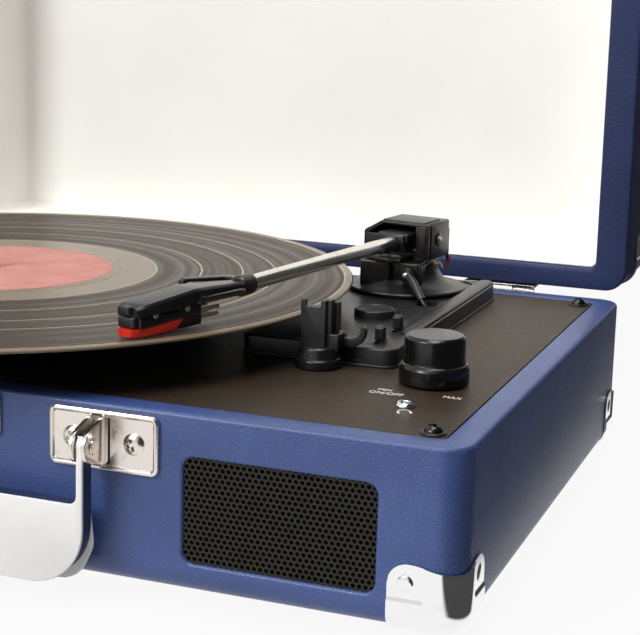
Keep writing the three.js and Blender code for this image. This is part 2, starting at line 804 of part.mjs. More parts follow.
function headshell() {
  const top = arm_z + shell_top;
  const crest = top + shell_rise;
  const [neck, w, end] = [shell_neck_width / 2, shell_width / 2, shell_length];
  const side_view = polygon([
    [2, shell_bottom], [2, top], [-shell_crest, crest], [1 - end, crest - shell_drop],
    [-end, shell_bottom + 1], [-end, shell_bottom],
  ]);
  const plan = polygon([
    [-neck, 3], [-neck, -18], [-w, -30], [-w, 5 - end], [2 - w, -end - 1],
    [w - 2, -end - 1], [w, 5 - end], [w, -30], [neck, -18], [neck, 3],
  ]);
  const body = sideways(side_view, -w, w)
    .intersect(extruded(plan, shell_bottom - 1, crest + 1));
  const socket_end = -tube_end + shell_socket;
  const collar = rodAlongY(shell_collar_radius, -tube_end - 2, socket_end, 0, arm_z);
  const lift = extruded(polygon([
    [-2, socket_end - 1.5], [-8.5, socket_end - 0.5], [-lift_reach, socket_end - 16.5],
    [lift_width - lift_reach, socket_end - 18], [-7.8, socket_end - 1.5 - lift_width],
    [-2, socket_end - 5.5],
  ]), top - lift_thickness, top);
  return cut(join(alongShell(body), collar, lift),
    rodAlongY(tube_radius + fit, -tube_end - fit, socket_end + 1, 0, arm_z));
}

const cartridge_top = shell_bottom - fit;
const cartridge_bottom = cartridge_top - cartridge_height;

function cartridge() {
  const w = cartridge_width / 2;
  return alongShell(join(
    box(-w, w, -cartridge_end, -cartridge_start, cartridge_bottom, cartridge_top),
    box(-w, w, fit - stylus_start, -cartridge_start, cartridge_top - cartridge_heel_depth,
      cartridge_bottom + 1)));
}

function stylus() {
  const [w, top, tip] = [stylus_width / 2, cartridge_bottom - fit, record_top + needle_gap];
  const wedge = hull(
    box(-w, w, 4 - stylus_end, -stylus_start, top - 0.6, top),
    box(-3, 3, -stylus_end, -stylus_start, top - 1.5, top),
    box(1 - w, w - 1, 5 - stylus_end, -stylus_start, top - stylus_height, top),
  );
  const needle = turned([
    [0, tip], [needle_radius, tip + 0.6], [needle_radius, top - 0.5], [0, top - 0.5],
  ], 0, -needle_reach, 12);
  return alongShell(join(wedge, needle));
}

add(tonearm, 'arm_housing', armHousing(), black);
add(tonearm, 'arm_clamp', armClamp(), black);
add(tonearm, 'arm_tube', rodAlongY(tube_radius, -tube_end, -tube_start, 0, arm_z), chrome);
add(tonearm, 'headshell', headshell(), black);
add(tonearm, 'cartridge', cartridge(), black);
add(tonearm, 'stylus', stylus(), red);

// Arm rest and its swinging clip

const clip_pin_x = rest_x + rest_width / 2 + clip_bar / 2;
const clip_front = rest_y + rest_depth / 2 + fit;
const clip_bottom = plate_top + fit;
const clip_pin_z = clip_bottom + clip_bar + 1.5;

function armRest() {
  const [r, bottom, top] = [rest_base_radius, deck_top + fit, base_height + rest_base_height];
  const base = turned([
    [0, bottom], [r, bottom], [r, bottom + 2.8], [r - 0.8, bottom + 3.4], [r - 1, top - 1.2],
    [r - 2, top], [0, top],
  ], rest_x, rest_y, 32);
  const [w, d, post_top] = [rest_width / 2, rest_depth / 2, base_height + rest_height];
  const post = box(rest_x - w, rest_x + w, rest_y - d, rest_y + d, top - 1, post_top);
  const notch = box(rest_x - rest_notch_width / 2, rest_x + rest_notch_width / 2,
    rest_y - d - 1, rest_y + d + 1, post_top - rest_notch_depth, post_top + 1);
  const lug = box(rest_x + w - 1, clip_pin_x + clip_bar, rest_y - d, rest_y + d,
    top - 1, clip_pin_z + clip_bar);
  const pin = rodAlongY(clip_pin_radius, rest_y, clip_front + clip_depth + fit,
    clip_pin_x, clip_pin_z);
  return join(cut(join(base, post), notch), lug, pin);
}

// A hook open at its top, with its pin low on its left side.
function restClip() {
  const [outer, inner] = [clip_outer_radius, clip_outer_radius - clip_bar];
  const middle_x = clip_pin_x + outer - clip_bar;
  const middle_z = clip_bottom + outer;
  const [top, left_top] = [clip_bottom + clip_height, clip_bottom + clip_left_height];
  const hook = new THREE.Shape();
  hook.moveTo(middle_x - inner, left_top);
  hook.lineTo(middle_x - outer, left_top);
  hook.absarc(middle_x, middle_z, outer, PI, 2 * PI);
  hook.lineTo(middle_x + outer, top);
  hook.lineTo(middle_x + inner, top);
  hook.absarc(middle_x, middle_z, inner, 2 * PI, PI, true);
  const [y0, y1] = [clip_front, clip_front + clip_depth];
  const bore = clip_pin_radius + fit;
  const boss = rodAlongY(bore + 1.2, y0, y1, clip_pin_x, clip_pin_z);
  return cut(join(facing(hook, y0, y1, 10), boss),
    rodAlongY(bore, y0 - 1, y1 + 1, clip_pin_x, clip_pin_z));
}

add(player, 'arm_rest', armRest(), black);
add(player, 'rest_clip', restClip(), black);

// Volume knob and its control, headphone socket

function volumeKnob() {
  const [z0, z1] = [deck_top + knob_gap, deck_top + knob_height];
  const shoulder = z0 + knob_skirt_height;
  const [skirt, r] = [knob_skirt_radius, knob_top_radius];
  const cap = turned([
    [0, z0], [skirt, z0], [skirt, shoulder - 1], [skirt - 0.8, shoulder], [r, shoulder],
    [r, z1 - 1.5], [r - 0.5, z1 - 0.5], [r - 1.6, z1], [0, z1],
  ], knob_x, knob_y, 40);
  return join(cap,
    disc(knob_shaft_radius, deck_bottom - shaft_in_pot, z0 + 1, knob_x, knob_y, 20));
}

function volumeControl() {
  const [half, top] = [pot_size / 2, deck_bottom - fit];
  return cut(
    box(knob_x - half, knob_x + half, knob_y - half, knob_y + half, top - pot_height, top),
    disc(knob_shaft_radius + fit, top - shaft_in_pot, top + 1, knob_x, knob_y, 20));
}

function headphoneJack() {
  const [half, top] = [jack_body / 2, deck_bottom - fit];
  const bottom = top - jack_body_height;
  const nut_bottom = deck_top + fit;
  const body = join(
    box(jack_x - half, jack_x + half, jack_y - half, jack_y + half, bottom, top),
    disc(jack_thread_radius, top - 1, nut_bottom + 1, jack_x, jack_y, 20),
    disc(jack_nut_radius, nut_bottom, nut_bottom + jack_nut_height, jack_x, jack_y, 24));
  return cut(body, disc(jack_bore_radius, bottom + 2, nut_bottom + 3, jack_x, jack_y, 16));
}

add(player, 'volume_knob', volumeKnob(), black);
add(player, 'volume_control', volumeControl(), steel);
add(player, 'headphone_jack', headphoneJack(), steel);

// Speakers behind their grilles, and the amplifier board

function grille(side) {
  const shape = roundedShape(grille_width - 2 * fit, grille_height - 2 * fit, grille_round - fit);
  const front = -half_depth + grille_recess;
  return facing(shape, front, front + grille_thickness).translate([side * grille_x, 0, grille_z]);
}

function speaker(side) {
  const front = -inner_depth / 2 + fit;
  const [w, h] = [grille_width / 2 + speaker_frame, grille_height / 2 + speaker_frame];
  const r = speaker_radius;
  const frame = cut(box(-w, w, front, front + 2, -h, h), rodAlongY(r, front - 1, front + 3, 0, 0));
  const basket = alongY(turned([
    [0, front + 9], [7, front + 12], [r - 1, front + 1], [r + 1, front + 0.5],
    [r + 1, front + 3], [magnet_radius, front + 14], [magnet_radius, front + speaker_depth],
    [0, front + speaker_depth],
  ]), 0, 0);
  return join(frame, basket).translate([side * grille_x, 0, grille_z]);
}

function amplifierBoard() {
  const bottom = bottom_panel_thickness + fit;
  const z0 = bottom + standoff_height;
  const z1 = z0 + board_thickness;
  const [w, d] = [board_width / 2, board_depth / 2];
  const standoffs = corners.map(([, sx, sy]) => disc(standoff_radius, bottom, z0 + 0.5,
    sx * (w - 5), sy * (d - 5), 16));
  const heat_sink = box(-30, 10, 12, 24, z1 - 0.5, z1 + 18);
  const capacitors = [-22, -6].map((x) => disc(6, z1 - 0.5, z1 + 14, x, -8, 20));
  const connector = box(12, 32, -14, -4, z1 - 0.5, z1 + 7);
  return join(box(-w, w, -d, d, z0, z1), ...standoffs, heat_sink, ...capacitors, connector)
    .translate([board_x, board_y, 0]);
}

for (const [name, side] of left_right) {
  add(player, `speaker_grille_${name}`, grille(side), black);
  add(player, `speaker_${name}`, speaker(side), steel);
}
add(player, 'amplifier_board', amplifierBoard(), circuit_board);

// Socket panel on the back, with two line sockets and the power inlet

const rca_places = [-1, 1].map((side) => socket_x + rca_offset + side * rca_spacing / 2);
const inlet_x = socket_x + inlet_offset;
const panel_back = back_face + socket_panel_thickness;

function jackPanel() {
  const [w, h] = [socket_panel_width / 2, socket_panel_height / 2];
  const holes = rca_places.map((x) =>
    rodAlongY(rca_radius + fit, back_face - 1, panel_back + 1, x, socket_z));
  return cut(box(socket_x - w, socket_x + w, back_face, panel_back, socket_z - h, socket_z + h),
    ...holes, rodAlongY(inlet_radius + fit, back_face - 1, panel_back + 1, inlet_x, socket_z));
}

function socketBody(x0, x1) {
  const h = socket_body_height / 2;
  return box(x0, x1, half_depth - socket_body_depth, half_depth, socket_z - h, socket_z + h);
}

function rcaJacks() {
  const end = panel_back + rca_reach;
  const half = rca_radius + 1.5;
  const barrels = rca_places.map((x) => rodAlongY(rca_radius, half_depth - 1, end, x, socket_z));
  const bores = rca_places.map((x) => rodAlongY(rca_bore_radius, end - 9, end + 1, x, socket_z));
  return cut(join(socketBody(rca_places[0] - half, rca_places[1] + half), ...barrels), ...bores);
}

function powerInlet() {
  const end = panel_back + 1;
  const half = inlet_radius + 1;
  const body = join(socketBody(inlet_x - half, inlet_x + half),
    rodAlongY(inlet_radius, half_depth - 1, end, inlet_x, socket_z));
  return join(cut(body, rodAlongY(inlet_bore_radius, end - 9, end + 1, inlet_x, socket_z)),
    rodAlongY(inlet_pin_radius, end - 10, end - 1, inlet_x, socket_z));
}

add(player, 'jack_panel', jackPanel(), black);
add(player, 'rca_jacks', rcaJacks(), steel);
add(player, 'power_inlet', powerInlet(), black);

// Carry handle: two brackets with an ear and a pin each, and the U-shaped handle between them

const handle_y = -half_depth - handle_pivot_ahead;

function handleBracket(side) {
  const ahead = front_face - bracket_thickness;
  const [w, h, b] = [bracket_width / 2, bracket_height / 2, bracket_bevel];
  const plate = hull(
    box(bracket_x - w, bracket_x + w, front_face - 0.4, front_face, bracket_z - h, bracket_z + h),
    box(bracket_x - w + b, bracket_x + w - b, ahead, front_face,
      bracket_z - h + b, bracket_z + h - b));
  const ear_inside = handle_half_width + fit;
  const ear_outside = ear_inside + ear_thickness;
  const ear = hull(
    rodAlongX(ear_radius, ear_inside, ear_outside, handle_y, bracket_z),
    box(ear_inside, ear_outside, ahead, front_face, bracket_z - ear_radius - 2,
      bracket_z + ear_radius + 2));
  const pin = rodAlongX(handle_pin_radius, handle_half_width - handle_band - 0.6,
    ear_outside + 0.8, handle_y, bracket_z);
  return join(plate, ear, pin).scale([side, 1, 1]);
}

function handle() {
  const [w, inner, r, inner_r] = [handle_half_width, handle_half_width - handle_band, grip_round, 3];
  const [bottom, shoulder] = [bracket_z - grip_bottom, bracket_z - grip_top];
  const half = handle_thickness / 2;
  const outline = new THREE.Shape();
  outline.moveTo(-w, bracket_z);
  outline.lineTo(-w, bottom + r);
  outline.absarc(-w + r, bottom + r, r, PI, PI * 1.5);
  outline.absarc(w - r, bottom + r, r, -PI / 2, 0);
  outline.lineTo(w, bracket_z);
  outline.lineTo(inner, bracket_z);
  outline.absarc(inner - inner_r, shoulder + inner_r, inner_r, 0, -PI / 2, true);
  outline.absarc(-inner + inner_r, shoulder + inner_r, inner_r, -PI / 2, -PI, true);
  outline.lineTo(-inner, bracket_z);
  const ends = [-1, 1].map((side) =>
    rodAlongX(half, inner, w, handle_y, bracket_z).scale([side, 1, 1]));
  const slab = facing(outline, handle_y - half, handle_y + half, 10);
  return cut(join(slab, ...ends),
    rodAlongX(handle_pin_radius + fit, -w - 1, w + 1, handle_y, bracket_z));
}

for (const [name, side] of left_right) {
  add(player, `handle_bracket_${name}`, handleBracket(side), chrome);
}
add(player, 'handle', handle(), leather);

// Base halves of the hinges and of the latch

const knuckle = (radius, length) => rodAlongX(radius, -length / 2, length / 2, pin_y, pin_z);
const hinge_bore = hinge_pin_radius + fit;

function baseLeaf(side) {
  const [half, k, leaf_top] = [hinge_length / 2, knuckle_length / 2, pin_z - hinge_bore];
  const leaf = box(-half, half, back_face, back_face + leaf_thickness, leaf_top - leaf_height,
    leaf_top);
  const web = box(-k, k, back_face, pin_y, pin_z - knuckle_radius, leaf_top);
  return join(leaf, web, knuckle(knuckle_radius, knuckle_length),
    knuckle(hinge_pin_radius, hinge_length)).translate([side * hinge_x, 0, 0]);
}

function latchCatch() {
  const [w, top] = [latch_width / 2, base_height - latch_edge];
  const ahead = front_face - latch_plate_thickness;
  const hook_top = base_height - hook_below;
  return join(box(-w, w, ahead, front_face, top - latch_plate_height, top),
    box(-w / 2, w / 2, ahead - hook_reach, front_face - 0.5, hook_top - 2, hook_top));
}

for (const [name, side] of left_right) {
  add(player, `hinge_base_${name}`, baseLeaf(side), chrome);
}
add(player, 'latch_catch', latchCatch(), chrome);

// Lid, drawn shut over the base and turned open about the hinge pins

const lid = new THREE.Group();
lid.position.set(0, pin_y, pin_z);
lid.rotation.x = rad(-lid_open_angle);
const shut = new THREE.Group();
shut.position.set(0, -pin_y, -pin_z);
lid.add(shut);
player.add(lid);

function lidShell() {
  const blank = roundedBox(case_width, case_depth, lid_rim, lid_top, corner_radius,
    rim_edge_radius, bottom_edge_radius);
  return cut(blank, extruded(roundedShape(inner_width, inner_depth, 3), lid_rim - 1,
    lid_top - lid_top_thickness));
}

function lidLiner() {
  const shape = (inset) => roundedShape(inner_width - 2 * inset, inner_depth - 2 * inset, 2.5);
  const [z0, z1] = [lid_rim + liner_setback, lid_top - lid_top_thickness - fit];
  return cut(extruded(shape(fit), z0, z1),
    extruded(shape(fit + liner_thickness), z0 - 1, z1 - liner_thickness));
}

function lidLeaf(side) {
  const [half, leaf_bottom] = [hinge_length / 2, pin_z + hinge_bore];
  const leaf = box(-half, half, back_face, back_face + leaf_thickness, leaf_bottom,
    leaf_bottom + leaf_height);
  const k = knuckle_length / 2 + fit;
  const outer = [-1, 1].map((end) => join(
    rodAlongX(knuckle_radius, k, half, pin_y, pin_z),
    box(k, half, back_face, pin_y, leaf_bottom, pin_z + knuckle_radius),
  ).scale([end, 1, 1]));
  return cut(join(leaf, ...outer), knuckle(hinge_bore, hinge_length + 2))
    .translate([side * hinge_x, 0, 0]);
}

const latch_pin_y = -half_depth - latch_pin_ahead;
const latch_pin_z = lid_rim + latch_pin_above;
const latch_bore = latch_pin_radius + fit;
const latch_barrel = latch_bore + latch_barrel_wall;

function latchMount() {
  const bottom = lid_rim + latch_edge;
  const ahead = front_face - latch_plate_thickness;
  const [w, half] = [latch_width / 2, hasp_width / 2 + fit];
  const lugs = [-1, 1].map((side) => hull(
    rodAlongX(latch_barrel, half, half + latch_lug, latch_pin_y, latch_pin_z),
    box(half, half + latch_lug, ahead, front_face, latch_pin_z - 4, latch_pin_z + 4),
  ).scale([side, 1, 1]));
  return join(box(-w, w, ahead, front_face, bottom, bottom + latch_plate_height), ...lugs,
    rodAlongX(latch_pin_radius, -half - 1, half + 1, latch_pin_y, latch_pin_z));
}

function latchHasp() {
  const [w, front, end] = [hasp_width / 2, latch_pin_y - latch_barrel, latch_pin_z - hasp_length];
  const barrel = rodAlongX(latch_barrel, -w, w, latch_pin_y, latch_pin_z);
  const plate = hull(
    box(-w, w, front, front + hasp_thickness, end + 4, latch_pin_z),
    box(4 - w, w - 4, front, front + hasp_thickness, end, latch_pin_z));
  return cut(join(barrel, plate), rodAlongX(latch_bore, -w - 1, w + 1, latch_pin_y, latch_pin_z));
}

add(shut, 'lid_shell', lidShell(), leather);
add(shut, 'lid_liner', lidLiner(), lining);
for (const [name, sx, sy] of corners) {
  const cap = cornerCap(lid_depth, sx, sy).scale([1, 1, -1]).translate([0, 0, lid_top]);
  add(shut, `lid_cap_${name}`, cap, chrome);
}
for (const [name, side] of left_right) {
  add(shut, `hinge_lid_${name}`, lidLeaf(side), chrome);
}
add(shut, 'latch_mount', latchMount(), chrome);
add(shut, 'latch_hasp', latchHasp(), chrome);

export default player;
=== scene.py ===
"""Suitcase record player: its looks, drawn round the fixed frame.

Shapes are worked out in millimetres in the player's own frame (X right, Y back, Z up) and put into
meshes in metres. The lid's pieces are drawn shut and turned open about the hinge pins. The
tonearm's are drawn about its swing axis with the tube towards the front, and turned over the record.
"""
from math import acos, cos, pi, radians, sin, sqrt, tan

import bmesh
import bpy
import numpy as np
from mathutils import Matrix


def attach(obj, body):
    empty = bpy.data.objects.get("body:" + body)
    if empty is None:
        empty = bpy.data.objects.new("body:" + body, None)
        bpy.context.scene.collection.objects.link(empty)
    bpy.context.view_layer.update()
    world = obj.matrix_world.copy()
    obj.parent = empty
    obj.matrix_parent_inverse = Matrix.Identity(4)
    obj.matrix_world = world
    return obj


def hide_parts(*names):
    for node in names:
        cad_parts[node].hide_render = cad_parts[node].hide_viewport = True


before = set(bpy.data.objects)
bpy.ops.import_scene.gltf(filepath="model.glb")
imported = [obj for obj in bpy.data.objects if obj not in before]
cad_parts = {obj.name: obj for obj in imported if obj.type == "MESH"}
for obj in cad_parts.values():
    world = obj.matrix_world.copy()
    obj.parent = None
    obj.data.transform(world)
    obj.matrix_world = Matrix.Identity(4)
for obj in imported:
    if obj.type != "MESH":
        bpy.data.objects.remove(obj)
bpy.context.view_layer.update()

WIDTH, DEPTH, HEIGHT = 356, 260, 62
INNER_WIDTH, INNER_DEPTH = 335, 239
DECK = 61.7
LID_RIM, LID_TOP = 63, 109
LINED_WIDTH, LINED_DEPTH = 327, 241
HINGE_Y, HINGE_Z = 135, 58.6
SPINDLE = (-58, -22.5)
PIVOT = (91.5, 78)
ARM_Z = 91
ARM_YAW = 9.1
TUBE_END = 137.6
SHELL_TURN = 8
HANDLE_Y, HANDLE_Z = -139.4, 49.6
KNOB = (143.6, -52.4)
REST = (97.7, -48.2)


# ---- Shader values: Python's arithmetic on a Value adds its Math nodes ----

class Value:
    """An output socket of a finish's node."""

    def __init__(self, finish, socket):
        self.finish = finish
        self.socket = socket

    def math(self, operation, *values):
        return self.finish.node("Math", {"operation": operation}, dict(enumerate(values)))

    def __add__(self, other):
        return self.math("ADD", self, other)

    def __mul__(self, other):
        return self.math("MULTIPLY", self, other)

    def __sub__(self, other):
        return self.math("SUBTRACT", self, other)

    def __rsub__(self, other):
        return self.math("SUBTRACT", other, self)

    def __pow__(self, other):
        return self.math("POWER", self, other)

    __radd__ = __add__
    __rmul__ = __mul__


def tint(code):
    """A colour written as six hexadecimal digits, as linear red, green, blue and alpha."""
    parts = np.array([int(code[i:i + 2], 16) for i in (0, 2, 4)]) / 255
    linear = np.where(parts <= 0.04045, parts / 12.92, ((parts + 0.055) / 1.055) ** 2.4)
    return (*linear.tolist(), 1.0)


class Finish:
    """A material that keeps the name of one of the record's slots. node() adds a node, and wear() feeds its
    surface.
    """

    def __init__(self, name, slot):
        self.slot = slot
        self.material = bpy.data.materials.new(name)
        self.material.use_nodes = True
        self.tree = self.material.node_tree
        self.tree.nodes.clear()
        self.surface = self.tree.nodes.new("ShaderNodeBsdfPrincipled")
        output = self.tree.nodes.new("ShaderNodeOutputMaterial")
        self.tree.links.new(self.surface.outputs[0], output.inputs[0])
        self.place = self.node("TexCoord", output="Object")

    def node(self, kind, settings=None, values=None, output=0):
        node = self.tree.nodes.new("ShaderNode" + kind)
        for key, value in (settings or {}).items():
            setattr(node, key, value)
        for key, value in (values or {}).items():
            self.feed(node.inputs[key], value)
        return Value(self, node.outputs[output])

    def feed(self, socket, value):
        if isinstance(value, Value):
            self.tree.links.new(value.socket, socket)
        else:
            socket.default_value = value

    def wear(self, values):
        for key, value in values.items():
            self.feed(self.surface.inputs[key], value)
        return self

    def noise(self, size, detail=2.0, roughness=0.5, at=None):
        """Noise from 0 to 1 with features about size millimetres across."""
        return self.node("TexNoise", {}, {
            "Vector": at or self.place, "Scale": 1000 / size, "Detail": detail,
            "Roughness": roughness}, "Fac")

    def cells(self, size, feature="F1", at=None):
        """Distance inside cells about size millimetres across."""
        return self.node("TexVoronoi", {"feature": feature}, {
            "Vector": at or self.place, "Scale": 1000 / size}, "Distance")

    def span(self, value, low, high, start=0.0, end=1.0):
        """Carries value from the range low..high to start..end with soft ends."""
        return self.node("MapRange", {"interpolation_type": "SMOOTHSTEP"},
                         {0: value, 1: low, 2: high, 3: start, 4: end})

    def blend(self, mask, first, second):
        return self.node("Mix", {"data_type": "RGBA"}, {0: mask, 6: first, 7: second}, 2)

    def relief(self, height, depth, under=None):
        """A bump of the given depth in millimetres, over another normal if one is given."""
        values = {"Height": height, "Distance": depth / 1000, "Strength": 1.0}
        if under:
            values["Normal"] = under
        return self.node("Bump", {}, values)

    def axis(self, letter):
        return self.node("SeparateXYZ", {}, {0: self.place}, letter)

    def stretched(self, scale):
        return self.node("Mapping", {}, {"Vector": self.place, "Scale": scale})

    def from_axis(self, x, y):
        """Distance in millimetres from an upright axis through x, y."""
        across = self.axis("X") - x / 1000
        along = self.axis("Y") - y / 1000
        return (across * across + along * along) ** 0.5 * 1000.0


def leatherette(name, slot, deep, light, size=1.0, gloss=0.42, depth=0.09, shine=0.5, coat=0.0):
    """Embossed vinyl: small pebbles with creases between them, cloudy colour, glossier tops, and painted shade:
    the colour darker in the creases and lighter on the pebble tops.
    """
    f = Finish(name, slot)
    drift = f.noise(7, 2)
    warped = f.node("VectorMath", {"operation": "MULTIPLY_ADD"}, {
        0: f.node("TexNoise", {}, {"Vector": f.place, "Scale": 900.0, "Detail": 1.0}, "Color"),
        1: (0.0009, 0.0009, 0.0009), 2: f.place})
    pebbles = f.span(f.cells(size, "DISTANCE_TO_EDGE", warped), 0.0, 0.32)
    fine = f.noise(size * 0.35, 3, 0.6)
    clouds = f.span(f.noise(38, 3), 0.3, 0.7)
    # painted shade: the pebbles darken the colour in the creases between them
    tone_with_crease_shade = clouds * 0.45 + pebbles * 0.35 + drift * 0.2
    f.surface.inputs["Specular IOR Level"].default_value = shine
    f.surface.inputs["Coat Roughness"].default_value = 0.32
    return f.wear({
        "Base Color": f.blend(tone_with_crease_shade, tint(deep), tint(light)),
        "Coat Weight": coat,
        "Roughness": gloss + 0.16 * (1 - pebbles) + 0.1 * fine,
        "Normal": f.relief(pebbles * 0.75 + fine * 0.35, depth),
    })


def lining():
    """Smooth coated paper with a slight cloudiness and a fibrous surface."""
    f = Finish("white_lining", "lining")
    fibres = f.noise(0.5, 3, 0.6)
    clouds = f.span(f.noise(55, 3), 0.3, 0.7)
    return f.wear({
        "Base Color": f.blend(clouds, tint("f2f0ea"), tint("f6f4ee")),
        "Roughness": 0.6 + fibres * 0.15,
        "Normal": f.relief(fibres, 0.03),
    })


def moulded(name, slot, deep, light, gloss, grain=0.5, depth=0.02, coat=0.0):
    """Moulded plastic: fine spark texture, faint flow clouds and handling marks in its gloss."""
    f = Finish(name, slot)
    spark = f.noise(grain, 3, 0.6)
    flow = f.span(f.noise(11, 2), 0.3, 0.7)
    rubbed = f.span(f.noise(4.5, 4, 0.65), 0.52, 0.75)
    return f.wear({
        "Base Color": f.blend(flow * 0.6 + spark * 0.4, tint(deep), tint(light)),
        "Roughness": gloss + spark * 0.1 - rubbed * 0.06,
        "Coat Weight": coat,
        "Normal": f.relief(spark, depth),
    })


def plated(name, slot, deep, light, gloss, ripple=0.02, grain=None):
    """Plated or bare metal: faint waviness, hazy handling marks, and brushing along one axis."""
    f = Finish(name, slot)
    haze = f.span(f.noise(6, 4, 0.6), 0.5, 0.85)
    waves = f.noise(9, 1)
    lines = f.noise(1.0, 2, 0.5, f.stretched(grain)) if grain else f.noise(0.4, 2)
    return f.wear({
        "Base Color": f.blend(haze, tint(light), tint(deep)),
        "Metallic": 1.0,
        "Roughness": gloss + haze * 0.05 + lines * (0.14 if grain else 0.03),
        "Normal": f.relief(lines, 0.006 if grain else 0.002, f.relief(waves, ripple)),
    })


def vinyl_disc():
    """Pressed vinyl: rings of groove about the spindle, smooth between the bands and in the run-out. Its colour
    carries painted reflection: brown tones in rings over the grooves, lighter colour on the run-out and lighter
    still on the gaps.
    """
    f = Finish("record_vinyl", "record_vinyl")
    f.surface.inputs["Specular Tint"].default_value = (1.0, 0.84, 0.66, 1)
    f.surface.inputs["Specular IOR Level"].default_value = 0.28
    radius = f.from_axis(*SPINDLE)
    gaps = 0.0
    for edge, width in ((68.3, 0.4), (87.2, 0.4), (104.4, 0.4), (118.3, 0.4), (147.2, 0.4)):
        line = f.node("Math", {"operation": "COMPARE"}, {0: radius, 1: edge, 2: width})
        gaps = line + gaps
    cut = f.node("Math", {"operation": "GREATER_THAN"}, {0: radius, 1: 68.3})
    cut = cut * f.node("Math", {"operation": "LESS_THAN"}, {0: radius, 1: 147.6})
    grooved = (cut - gaps).math("MAXIMUM", cut - gaps, 0.0)
    rings = f.span(f.node("TexNoise", {"noise_dimensions": "1D"}, {
        "W": radius, "Scale": 0.9, "Detail": 5.0, "Roughness": 0.85}, "Fac"), 0.35, 0.68)
    bands = f.span(f.node("TexNoise", {"noise_dimensions": "1D"}, {
        "W": radius, "Scale": 0.21, "Detail": 3.0, "Roughness": 0.6}, "Fac"), 0.38, 0.62)
    wave = (radius * (2 * pi / 0.55)).math("SINE", radius * (2 * pi / 0.55))
    dust = f.span(f.noise(1.2, 4, 0.7), 0.6, 0.8)
    # painted reflection: the grooves' sheen as brown tones in rings over near-black vinyl
    groove_sheen_tone = f.blend(rings * 0.55 + bands * 0.45, tint("0d0906"), tint("46372a"))
    return f.wear({
        # painted reflection: the smooth run-out lighter in colour, and the gaps between bands lighter still
        "Base Color": f.blend(gaps * 0.65, f.blend(grooved, tint("766957"), groove_sheen_tone), tint("a8977f")),
        "Roughness": 0.24 + grooved * (0.02 + rings * 0.1 + bands * 0.16) + dust * 0.05,
        "Normal": f.relief(grooved * (wave * 0.25 + rings), 0.02),
    })


def label_paper():
    """Matt printed paper: a red ground, a darker rim ring and a pressed ring near the spindle."""
    f = Finish("label_paper", "record_vinyl")
    radius = f.from_axis(*SPINDLE)
    rim = f.span(radius, 47.6, 48.2)
    pressed = f.node("Math", {"operation": "COMPARE"}, {0: radius, 1: 17.5, 2: 0.5})
    fibres = f.noise(0.6, 3, 0.6)
    clouds = f.span(f.noise(16, 3), 0.3, 0.7)
    ground = f.blend(clouds, tint("bd7a70"), tint("c8897e"))
    return f.wear({
        "Base Color": f.blend(rim * 0.5, ground, tint("b5756b")),
        "Roughness": 0.48 + fibres * 0.15,
        "Normal": f.relief(fibres * 0.3 - pressed, 0.06),
    })


def plain(name, slot, code, gloss, metal=0.0, size=2.0):
    """A small piece's finish: one colour with a little mottling and uneven gloss."""
    f = Finish(name, slot)
    mottle = f.noise(size, 3, 0.6)
    colour = np.array(tint(code))
    darker = (*(colour[:3] * 0.8).tolist(), 1.0)
    return f.wear({
        "Base Color": f.blend(mottle, darker, tint(code)),
        "Metallic": metal,
        "Roughness": gloss + mottle * 0.12,
        "Normal": f.relief(mottle, 0.01),
    })


BLUE = leatherette("blue_leatherette", "leatherette", "2c4277", "3f5794", 1.1, 0.36, 0.12, 0.5, 0.45)
# painted shade: a darker copy of the same blue leatherette, so that the lid and the handle's core look less lit
SHADED_BLUE = leatherette("shaded_blue_leatherette", "leatherette", "1b264b", "293763", 1.1, 0.45, 0.12, 0.35)
DECK_VINYL = leatherette("deck_vinyl", "deck_vinyl", "231a12", "382b20", 0.7, 0.34, 0.05)
DECK_VINYL.surface.inputs["Specular Tint"].default_value = (1.0, 0.84, 0.66, 1)
WHITE_SIDE = leatherette("white_leatherette", "leatherette", "eae8e5", "f6f5f3", 0.8, 0.35, 0.03)
LINING = lining()
BLACK = moulded("black_plastic", "black_plastic", "110f0d", "1c1a17", 0.26)
GREY_BLACK = moulded("grey_black_plastic", "black_plastic", "18181a", "232325", 0.3)
SATIN_BLACK = moulded("satin_black_plastic", "black_plastic", "131315", "1c1c1f", 0.2)
GLOSSY = moulded("glossy_black_plastic", "gloss_black_plastic", "0b0b0b", "121212", 0.14, 0.9, 0.006)
RED = moulded("red_plastic", "red_plastic", "c22316", "e23322", 0.28, 0.8, 0.01)
RUBBER = moulded("rubber", "rubber", "161616", "222222", 0.72, 0.4, 0.04)
CHROME = plated("chrome", "chrome", "ebebec", "f5f5f5", 0.035, 0.012)
NICKEL = plated("nickel_plate", "chrome", "cbc2b8", "e8e0d8", 0.2)
DARK_NICKEL = plated("dark_nickel", "chrome", "4c4a4a", "7a7777", 0.24)
BRIGHT_TUBE = plated("polished_tube", "chrome", "dcd7cd", "f8f5ee", 0.2, 0.004)
STEEL = plated("steel", "steel", "8d8d8b", "a9a9a6", 0.26, 0.01, (1.0, 14.0, 14.0))
PERFORATED = plated("perforated_sheet", "black_metal", "161310", "2b2722", 0.3, 0.0)
PERFORATED.wear({"Metallic": 0.6})
VINYL = vinyl_disc()
LABEL = label_paper()
INK = plain("white_ink", "deck_vinyl", "f8f7f2", 0.5)
# painted shade: near-black for sheets put where hollows fall in shade
DARK = plain("painted_recess_shade", "black_plastic", "050505", 0.7)
BOARD = plain("circuit_board", "circuit_board", "1f5a35", 0.45)
FIBRE = plain("fibreboard", "fibreboard", "8a6c48", 0.75, 0.0, 1.0)
RED_WIRE = plain("red_wire", "red_plastic", "a5231c", 0.4)
WHITE_WIRE = plain("white_wire", "black_plastic", "d9d7d0", 0.4)
SOLDER = plain("bright_pin", "chrome", "f4f1ea", 0.32, 1.0)


# ---- Shapes: a part is its points in millimetres and its faces ----

